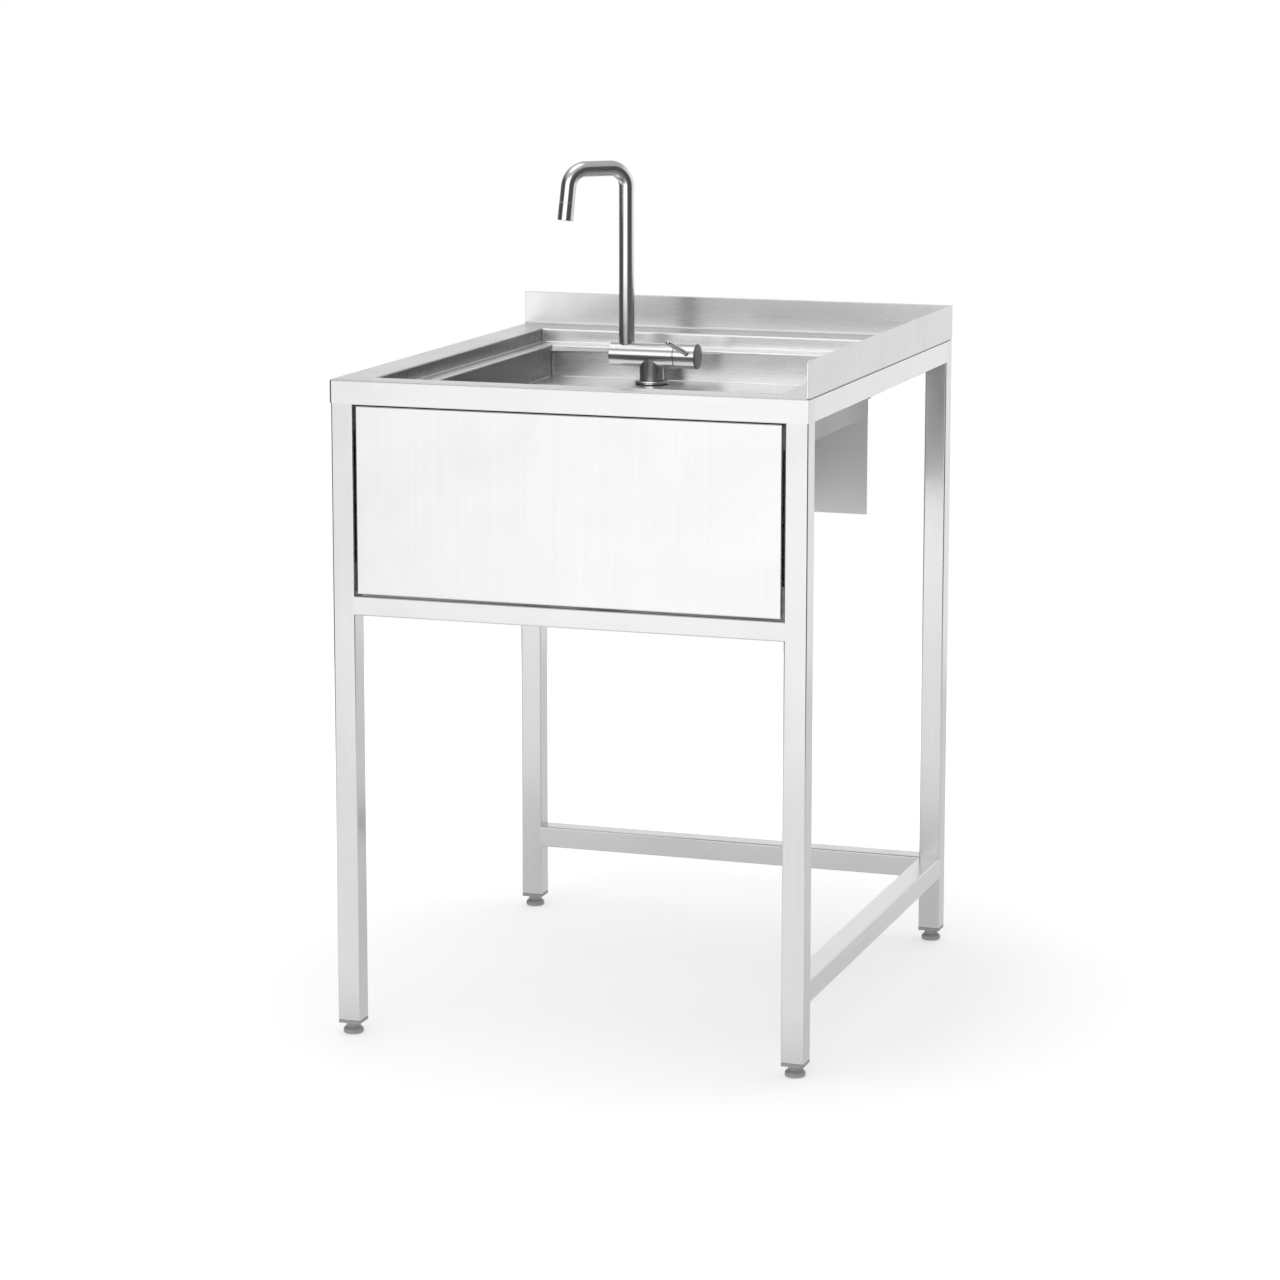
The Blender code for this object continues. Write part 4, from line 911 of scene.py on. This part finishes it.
screw_steel = speckled("screw_steel", (0.62, 0.61, 0.60), 0.3, metallic=1.0, size=0.0005)
for number in range(1, 5):
    low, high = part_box("panel_screw_%d" % number)
    middle = (low + high) / 2
    tall = high.y - low.y
    head = [(0.0, 0.0026), (0.0012, 0.00256), (0.0024, 0.0023), (0.0034, 0.0017), (0.0039, 0.0008),
            (0.0040, 0.0), (0.0015, 0.0), (0.0015, 0.0016 - tall), (0.0006, 0.0026 - tall),
            (0.0, 0.0026 - tall)]
    shank = turned(head, steps=32)
    shank = cut(shank, block((-0.0022, -0.0004, 0.0013), (0.0022, 0.0004, 0.004)),
                block((-0.0004, -0.0022, 0.0013), (0.0004, 0.0022, 0.004)))
    ridge = thread(screw_steel, 0.0019, 0.0007, 0.0003, tall - 0.0052, (0, 0, 0.0032 - tall))
    screw = moved(gathered(shank, ridge), (middle.x, high.y - 0.0026, middle.z), (0, 1, 0))
    add_piece("pan_head_screw_%d" % number, even_shading(screw, 40), "stand", screw_steel, "stand_steel",
              "panel_screw_%d" % number)

# ---------------------------------------------------------------------------------- rear skirt
# A plain steel sheet hanging behind the basin, folded back under the tap deck and welded to it.
# Its strokes run from left to right, and its lower edge is free.
skirt_steel = brushed_steel("skirt_steel", 0.62, 0.34, stroke=(0.12, 0.0010), contrast=0.05)
low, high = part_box("rear_skirt")
skirt = combined(block(low, (high.x, low.y + SHEET, high.z)),
                 ("UNION", block((low.x, low.y, high.z - SHEET), high)))
skirt = rounded(skirt, lambda middle, way: 0.0022 if same(middle.y, low.y) and same(middle.z, high.z) else
                0.0010 if same(middle.y, low.y + SHEET) and same(middle.z, high.z - SHEET) else 0.0)
skirt = run_grain(even_shading(skirt), sheet_grain)
add_piece("hanging_skirt", skirt, "stand", skirt_steel, "stand_steel", "rear_skirt")


# --------------------------------------------------------------------------------------- waste
# Basket waste clamped through the basin's floor: a pressed steel flange with a threaded body, rubber
# seals, a white plastic backnut with grips, a coupling nut over the hose tail, and a lift-out cup.
bright_steel = speckled("pressed_steel", (0.80, 0.80, 0.79), 0.22, metallic=1.0, size=0.0006, contrast=0.04)
white_plastic = speckled("moulded_white_plastic", (0.78, 0.78, 0.76), 0.42, contrast=0.05, wear=0.08)
rubber = speckled("black_rubber", (0.03, 0.03, 0.03), 0.72, size=0.0010, contrast=0.25, wear=0.03)
refinish(rubber, "waste_upper_seal", "waste_lower_seal")


def ring_of(count, place, make):
    """Copies of a mesh spaced evenly round a vertical axis."""
    copies = []
    for number in range(count):
        copies.append(make())
        copies[-1].transform(Matrix.Rotation(2 * math.pi * number / count, 4, "Z"))
    return moved(gathered(*copies), place)


low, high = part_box("waste_flange")
WASTE_R, WASTE_BORE, RIM_R = 0.0255, 0.0215, (high.x - low.x) / 2
seat = high.z - 0.0030
flange = turned([
    (WASTE_BORE, seat + 0.0008), (0.70 * RIM_R, seat + 0.0008), (0.75 * RIM_R, seat + 0.0011),
    (0.79 * RIM_R, seat + 0.0024), (0.83 * RIM_R, seat + 0.0030), (0.90 * RIM_R, seat + 0.0029),
    (0.96 * RIM_R, seat + 0.0023), (RIM_R, seat + 0.0008), (RIM_R, seat), (WASTE_R - 0.0008, seat),
    (WASTE_R - 0.0008, low.z), (WASTE_BORE, low.z)], DRAIN, steps=96)
ridge = thread(bright_steel, WASTE_R, 0.0023, 0.0008, seat - low.z - 0.006,
               (*DRAIN[:2], low.z + 0.002))
add_piece("pressed_waste_flange", even_shading(gathered(flange, ridge), 30), "stand", bright_steel,
          "top_steel", "waste_flange")

low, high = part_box("waste_backnut")
nut_r = (high.x - low.x) / 2
inner = WASTE_R + 0.0006
backnut = turned([(inner, high.z), (nut_r - 0.0030, high.z), (nut_r - 0.0022, high.z - 0.0008),
                  (nut_r - 0.0022, low.z + 0.0008), (nut_r - 0.0030, low.z), (inner, low.z)],
                 DRAIN, steps=96)
grips = ring_of(12, DRAIN, lambda: rounded(
    block((nut_r - 0.0040, -0.0030, low.z + 0.0006), (nut_r - 0.0002, 0.0030, high.z - 0.0006)),
    lambda middle, way: 0.0008, 3))
backnut = even_shading(gathered(backnut, grips))
add_piece("gripped_backnut", backnut, "stand", white_plastic, "white_plastic", "waste_backnut")

low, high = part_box("waste_coupling_nut")
collar_r = (high.x - low.x) / 2
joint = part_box("waste_flange")[0].z
collar = turned([(WASTE_R + 0.0003, high.z), (collar_r - 0.0024, high.z),
                 (collar_r - 0.0012, high.z - 0.0012), (collar_r - 0.0012, low.z + 0.0012),
                 (collar_r - 0.0024, low.z), (0.0206, low.z),
                 (0.0206, joint - 0.0056), (0.0264, joint - 0.0034), (0.0264, joint + 0.001),
                 (WASTE_R + 0.0003, joint + 0.001)], DRAIN, steps=96)
ribs = ring_of(36, DRAIN, lambda: rounded(
    block((collar_r - 0.0024, -0.0011, low.z + 0.0022), (collar_r - 0.0001, 0.0011, high.z - 0.0022)),
    lambda middle, way: 0.0006, 2))
add_piece("knurled_coupling_nut", even_shading(gathered(collar, ribs)), "stand", white_plastic,
          "white_plastic", "waste_coupling_nut")

low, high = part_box("waste_tail")
TAIL_R, TAIL_BORE = 0.0200, 0.0175
tail_profile = [(TAIL_BORE, high.z), (0.0260, high.z), (0.0260, high.z - 0.0027), (TAIL_R, high.z - 0.0047)]
barb = high.z - 0.012
while barb > low.z + 0.006:
    tail_profile += [(TAIL_R, barb), (TAIL_R - 0.0009, barb - 0.0006), (TAIL_R - 0.0009, barb - 0.0014)]
    barb -= 0.0052
tail_profile += [(TAIL_R, barb), (TAIL_R - 0.0012, low.z), (TAIL_BORE, low.z)]
tail = even_shading(turned(tail_profile, DRAIN, steps=96))
add_piece("ribbed_hose_tail", tail, "stand", white_plastic, "white_plastic", "waste_tail")

low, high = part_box("strainer_basket")
lip = high.z - 0.010
cup = turned([
    (0.0, high.z), (0.0030, high.z - 0.0002), (0.0043, high.z - 0.0012), (0.0045, high.z - 0.0026),
    (0.0038, high.z - 0.0044), (0.0024, high.z - 0.0060), (0.0020, high.z - 0.0080), (0.0020, low.z + 0.0013),
    (0.0030, low.z + 0.0010), (0.0168, low.z + 0.0010), (0.0178, low.z + 0.0016), (0.0194, lip + 0.0004),
    (0.0200, lip + 0.0009), (0.0210, lip + 0.0010), (0.0285, lip + 0.0010), (0.0285, lip),
    (0.0208, lip), (0.0204, lip - 0.0004), (0.0188, low.z + 0.0010), (0.0180, low.z), (0.0, low.z)],
    steps=96)
holes = []
for count, hole_ring, radius in ((8, 0.0070, 0.0013), (14, 0.0110, 0.0014), (18, 0.0149, 0.0012)):
    for number in range(count):
        turn = 2 * math.pi * (number + 0.5) / count
        holes.append(rod(radius, low.z - 0.002, low.z + 0.002,
                         (hole_ring * math.cos(turn), hole_ring * math.sin(turn), 0), steps=16))
cup = moved(even_shading(cut(cup, gathered(*holes))), DRAIN)
add_piece("pressed_strainer_cup", cup, "strainer", bright_steel, "top_steel", "strainer_basket")

# ----------------------------------------------------------------------------------- tap, fixed
# A satin steel body in one piece: a level barrel on a short neck, with a boss for the spout. It
# stands on a thin ring on the deck and is clamped from below by a threaded brass shank and nut.
tap_steel = brushed_steel("satin_tap_steel", 0.74, 0.20, stroke=(0.012, 0.0003), contrast=0.05, grip=0.5,
                          bump=0.00001, edge=0.0008, smudge=0.05, warmth=0.008)
brass = speckled("turned_brass", (0.76, 0.58, 0.30), 0.28, metallic=1.0, size=0.0005, contrast=0.08)
body_low, body_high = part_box("tap_body")
BARREL_Z = 0.834
BARREL_R = 0.0170
NECK_R = 0.0167
RISER_X = TAP_X - 0.0364
RISER_R = 0.0110
CARTRIDGE_R = 0.0133
SPIGOT_R = 0.0086
EDGE = 0.0005
barrel_length = body_high.x - body_low.x
barrel = turned([(0.0, 0.0), (BARREL_R - EDGE, 0.0), (BARREL_R - 0.3 * EDGE, 0.3 * EDGE), (BARREL_R, EDGE),
                 (BARREL_R, barrel_length - EDGE), (BARREL_R - EDGE, barrel_length), (0.0, barrel_length)],
                (body_low.x, TAP_Y, BARREL_Z), (1, 0, 0), 96)
neck = turned([(0.0, body_low.z), (NECK_R - EDGE, body_low.z), (NECK_R, body_low.z + EDGE),
               (NECK_R, BARREL_Z), (0.0, BARREL_Z)], TAP_FOOT, steps=96)
boss = turned([(0.0, BARREL_Z), (RISER_R, BARREL_Z), (RISER_R, body_high.z - 0.3 * EDGE),
               (RISER_R - 0.3 * EDGE, body_high.z), (0.0, body_high.z)], (RISER_X, TAP_Y, 0), steps=64)
cartridge_bore = rod(CARTRIDGE_R, 0.0, 0.06, (TAP_X + 0.0004, TAP_Y, BARREL_Z), (1, 0, 0), 47)
spigot_bore = rod(SPIGOT_R, BARREL_Z + 0.016, BARREL_Z + 0.066, (RISER_X, TAP_Y, 0), steps=47)
tap_body = cut(combined(barrel, ("UNION", neck), ("UNION", boss)), cartridge_bore, spigot_bore)
tap_body = even_shading(tap_body, 30)
add_piece("satin_tap_body", tap_body, "stand", tap_steel, "tap_steel", "tap_body")

low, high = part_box("tap_base_ring")
ring_r = (high.x - low.x) / 2
base_ring = turned([(0.0153, high.z), (0.90 * ring_r, high.z), (0.965 * ring_r, high.z - 0.0003),
                    (ring_r, high.z - 0.0012), (ring_r, low.z), (0.0153, low.z)], TAP_FOOT, steps=96)
add_piece("deck_ring", even_shading(base_ring), "stand", tap_steel, "tap_steel", "tap_base_ring")
refinish(rubber, "tap_base_seal", "tap_clamp_seal")
refinish(brass, "cartridge_nut", "tap_spindle", "handle_stem")
refinish(white_plastic, "tap_cartridge", "spout_spigot")

low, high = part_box("tap_shank")
core = turned([(0.0112, high.z), (0.0142, high.z), (0.0142, low.z), (0.0112, low.z)], TAP_FOOT, steps=64)
ridge = thread(brass, 0.0150, 0.0015, 0.0008, high.z - low.z - 0.004, (TAP_X, TAP_Y, low.z + 0.002))
add_piece("threaded_shank", even_shading(gathered(core, ridge), 40), "stand", brass, "brass", "tap_shank")

low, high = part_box("tap_clamp_washer")
washer_r = (high.x - low.x) / 2
washer = turned([(0.0153, high.z), (washer_r - 0.0003, high.z), (washer_r, high.z - 0.0003),
                 (washer_r, low.z + 0.0003), (washer_r - 0.0003, low.z), (0.0153, low.z)],
                TAP_FOOT, steps=96)
add_piece("clamp_plate", even_shading(washer), "stand", stand_steel, "stand_steel", "tap_clamp_washer")

low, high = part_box("tap_backnut")
dome = turned([(0.0, low.z), (0.0203, low.z), (0.0226, low.z + 0.0016), (0.0226, high.z - 0.0016),
               (0.0203, high.z), (0.0, high.z)], steps=96)
hexagon = combined(rod(0.0225, low.z, high.z, steps=6), ("INTERSECT", dome))
backnut = moved(cut(hexagon, rod(0.0156, low.z - 0.01, high.z + 0.01, steps=64)), TAP_FOOT)
add_piece("hexagon_backnut", even_shading(backnut, 25), "stand", brass, "brass", "tap_backnut")

for name in ("cold", "hot"):
    low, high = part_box("inlet_tail_" + name)
    union_top = low.z + 0.024
    stem = rod(0.0042, high.z, union_top, steps=32)
    union = rod(0.0058, union_top - 0.001, low.z + 0.0110, steps=6)
    end = turned([(0.0, low.z + 0.0112), (0.0044, low.z + 0.0112), (0.0044, low.z + 0.0006),
                  (0.0038, low.z), (0.0, low.z)], steps=32)
    ridge = thread(brass, 0.0050, 0.0010, 0.0005, 0.0085, (0, 0, low.z + 0.0012))
    tail = moved(gathered(stem, union, end, ridge), ((low.x + high.x) / 2, (low.y + high.y) / 2, 0))
    add_piece("union_tail_" + name, even_shading(tail, 35), "stand", brass, "brass", "inlet_tail_" + name)

# ---------------------------------------------------------------------------------- tap, handle
# A short sleeve with a wedge-shaped seam, so that it can rock, closed by a dark brushed disc, with a
# round-ended lever pin let into its side.
SLEEVE_R = 0.0174
SLEEVE_START = TAP_X + 0.0356
SLEEVE_END = TAP_X + 0.0656
SLEEVE_BORE = 0.0150
WEDGE = 0.0034
PIN_R = 0.0034
rise, lean = math.radians(19.5), math.radians(6.0)
PIN_SIDE = Vector((0.0, -math.cos(rise), math.sin(rise)))
PIN_WAY = (PIN_SIDE * math.cos(lean) - Vector((math.sin(lean), 0, 0))).normalized()
sleeve = turned([
    (0.0, SLEEVE_END), (SLEEVE_R - EDGE, SLEEVE_END), (SLEEVE_R - 0.3 * EDGE, SLEEVE_END - 0.3 * EDGE),
    (SLEEVE_R, SLEEVE_END - EDGE), (SLEEVE_R, SLEEVE_START), (SLEEVE_BORE, SLEEVE_START),
    (SLEEVE_BORE, SLEEVE_END - 0.012), (0.0034, SLEEVE_END - 0.012), (0.0034, SLEEVE_END - 0.0071),
    (0.0, SLEEVE_END - 0.0071)], (0, TAP_Y, BARREL_Z), (1, 0, 0), 96)
trim = block((-0.01, -0.06, -0.06), (0.01, 0.06, 0.06))
tilt = Matrix.Rotation(math.atan2(WEDGE, 2 * SLEEVE_R), 4, Vector((1, 0, 0)).cross(PIN_SIDE))
trim.transform(tilt @ Matrix.Translation((-0.01, 0, 0)))
trim.transform(Matrix.Translation(Vector((SLEEVE_START, TAP_Y, BARREL_Z)) + PIN_SIDE * SLEEVE_R))
pin_root = Vector((TAP_X + 0.0555, TAP_Y, BARREL_Z)) + PIN_SIDE * (SLEEVE_R - 0.0040)
socket = rod(PIN_R + 0.0003, -0.0003, 0.06, pin_root, PIN_WAY, 48)
sleeve = even_shading(cut(sleeve, trim, socket), 30)
add_piece("satin_handle_sleeve", sleeve, "handle", tap_steel, "tap_steel", "handle_sleeve")

dark_disc = brushed_steel("dark_brushed_disc", 0.17, 0.30, stroke=(0.014, 0.0003), contrast=0.05, grip=0.8,
                          bump=0.00001, edge=0.0005, smudge=0.04)
low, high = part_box("handle_end_cap")
disc = turned([(0.0, high.x), (SLEEVE_R - 0.0009, high.x), (SLEEVE_R - 0.0003, high.x - 0.0002),
               (SLEEVE_R, high.x - 0.0007), (SLEEVE_R, low.x), (0.0, low.x)],
              (0, TAP_Y, BARREL_Z), (1, 0, 0), 96)
disc = run_grain(even_shading(disc),
                 lambda normal: Vector((0, 1, 0)) if abs(normal.x) > 0.9 else Vector((1, 0, 0)))
add_piece("dark_end_disc", disc, "handle", dark_disc, "end_disc", "handle_end_cap")

PIN_LENGTH = 0.070
TIP_STEPS = 6
pin = [(0.0, PIN_LENGTH)]
for step in range(1, TIP_STEPS + 1):
    turn = math.radians(90) * step / TIP_STEPS
    pin.append((PIN_R * math.sin(turn), PIN_LENGTH - PIN_R * 0.8 * (1 - math.cos(turn))))
pin += [(PIN_R, 0.0003), (PIN_R - 0.0003, 0.0), (0.0, 0.0)]
pin = even_shading(turned(pin, pin_root, PIN_WAY, 48))
add_piece("round_lever_pin", pin, "handle", tap_steel, "tap_steel", "lever_pin")

# ---------------------------------------------------------------------------------------- spout
# A satin steel tube bent twice, which turns on the boss on a plastic bush with two seals. Its joint
# with the boss is a fine line.
ARM_Z = cad_high.z - RISER_R - 0.0001
ARM_LENGTH = 0.086
BEND_R = 0.026
drop_lean = math.radians(6.5)
HEADING = Vector((math.cos(math.radians(225)), math.sin(math.radians(225)), 0.0))
DOWN = (HEADING * math.sin(drop_lean) - Vector((0, 0, math.cos(drop_lean)))).normalized()
spout_foot = Vector((RISER_X, TAP_Y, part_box("spout_tube")[0].z))
elbow = Vector((RISER_X, TAP_Y, ARM_Z))
corner = elbow + HEADING * ARM_LENGTH
spout_end = corner + DOWN * 0.045


def bent_tube_tree():
    """A round bar swept along a path of straight runs, with its corners bent to a radius."""
    tree, source, result = shape_tree("bent_tube", {
        "Foot": "Vector", "Elbow": "Vector", "Corner": "Vector", "End": "Vector", "Radius": 0.011,
        "Bend Radius": 0.026})
    path = add_node(tree, "GeometryNodeMeshLine", mode="OFFSET", in_Count=4)
    spot = add_node(tree, "GeometryNodeIndexSwitch", data_type="VECTOR")
    while len(spot.index_switch_items) < 4:
        spot.index_switch_items.new()
    feed(spot, add_node(tree, "GeometryNodeInputIndex"), source["Foot"], source["Elbow"], source["Corner"],
         source["End"])
    placed = add_node(tree, "GeometryNodeSetPosition", path, in_Position=spot)
    curve = add_node(tree, "GeometryNodeMeshToCurve", placed)
    soft = add_node(tree, "GeometryNodeFilletCurve", curve, mode="POLY", in_Count=24,
                    in_Radius=source["Bend Radius"])
    section = add_node(tree, "GeometryNodeCurvePrimitiveCircle", in_Resolution=64, in_Radius=source["Radius"])
    measure = add_node(tree, "GeometryNodeSplineParameter").outputs["Length"]
    kept = []
    for label, line in (("Run", soft), ("Round", section)):
        kept.append(add_node(tree, "GeometryNodeCaptureAttribute", domain="POINT"))
        kept[-1].capture_items.new("FLOAT", label)
        feed(kept[-1], line, measure)
    solid = add_node(tree, "GeometryNodeCurveToMesh", *kept, in_Fill_Caps=True)
    both = add_node(tree, "ShaderNodeCombineXYZ", kept[1].outputs[1], kept[0].outputs[1])
    stored = add_node(tree, "GeometryNodeStoreNamedAttribute", solid, data_type="FLOAT2", domain="CORNER",
                      in_Name="grain", in_Value=both)
    return end_shape(tree, source, result, stored)


spout = grown(bent_tube_tree(), tap_steel, Foot=spout_foot, Elbow=elbow, Corner=corner, End=spout_end,
              Radius=RISER_R, Bend_Radius=BEND_R)
add_piece("bent_spout", even_shading(spout, 40), "spout", tap_steel, "tap_steel", "spout_tube")
refinish(rubber, "spout_seal_lower", "spout_seal_upper")

# -------------------------------------------------------------------------------------- aerator
# A slim ring screwed to the end of the spout, holding a white plastic insert with a fine grid.
AERATOR_R = 0.0112
AERATOR_BORE = 0.0088
outlet = corner + DOWN * 0.070
ring_length = 0.0247
shell = turned([
    (AERATOR_BORE, ring_length), (AERATOR_R - 0.0004, ring_length), (AERATOR_R, ring_length - 0.0005),
    (AERATOR_R, 0.0008), (AERATOR_R - 0.0003, 0.0002), (AERATOR_R - 0.0010, 0.0),
    (AERATOR_BORE + 0.0003, 0.0), (AERATOR_BORE, 0.0004)], outlet, -DOWN, 96)
add_piece("aerator_ring", even_shading(shell), "spout", tap_steel, "tap_steel", "aerator")
grid_r = AERATOR_BORE - 0.0003
dish = turned([(0.0, 0.012), (grid_r, 0.012), (grid_r, 0.0030), (grid_r - 0.0006, 0.0024),
               (grid_r - 0.0010, 0.0034), (0.0, 0.0034)], steps=64)
bars = []
for number in range(-5, 6):
    across = number * 0.00135
    reach = math.sqrt((grid_r - 0.0008) ** 2 - across ** 2)
    bars.append(block((across - 0.00022, -reach, 0.0026), (across + 0.00022, reach, 0.0040)))
    bars.append(block((-reach, across - 0.00022, 0.0027), (reach, across + 0.00022, 0.0040)))
insert = moved(gathered(dish, *bars), outlet, -DOWN)
add_piece("aerator_grid", even_shading(insert), "spout", white_plastic, "white_plastic", "aerator_insert")
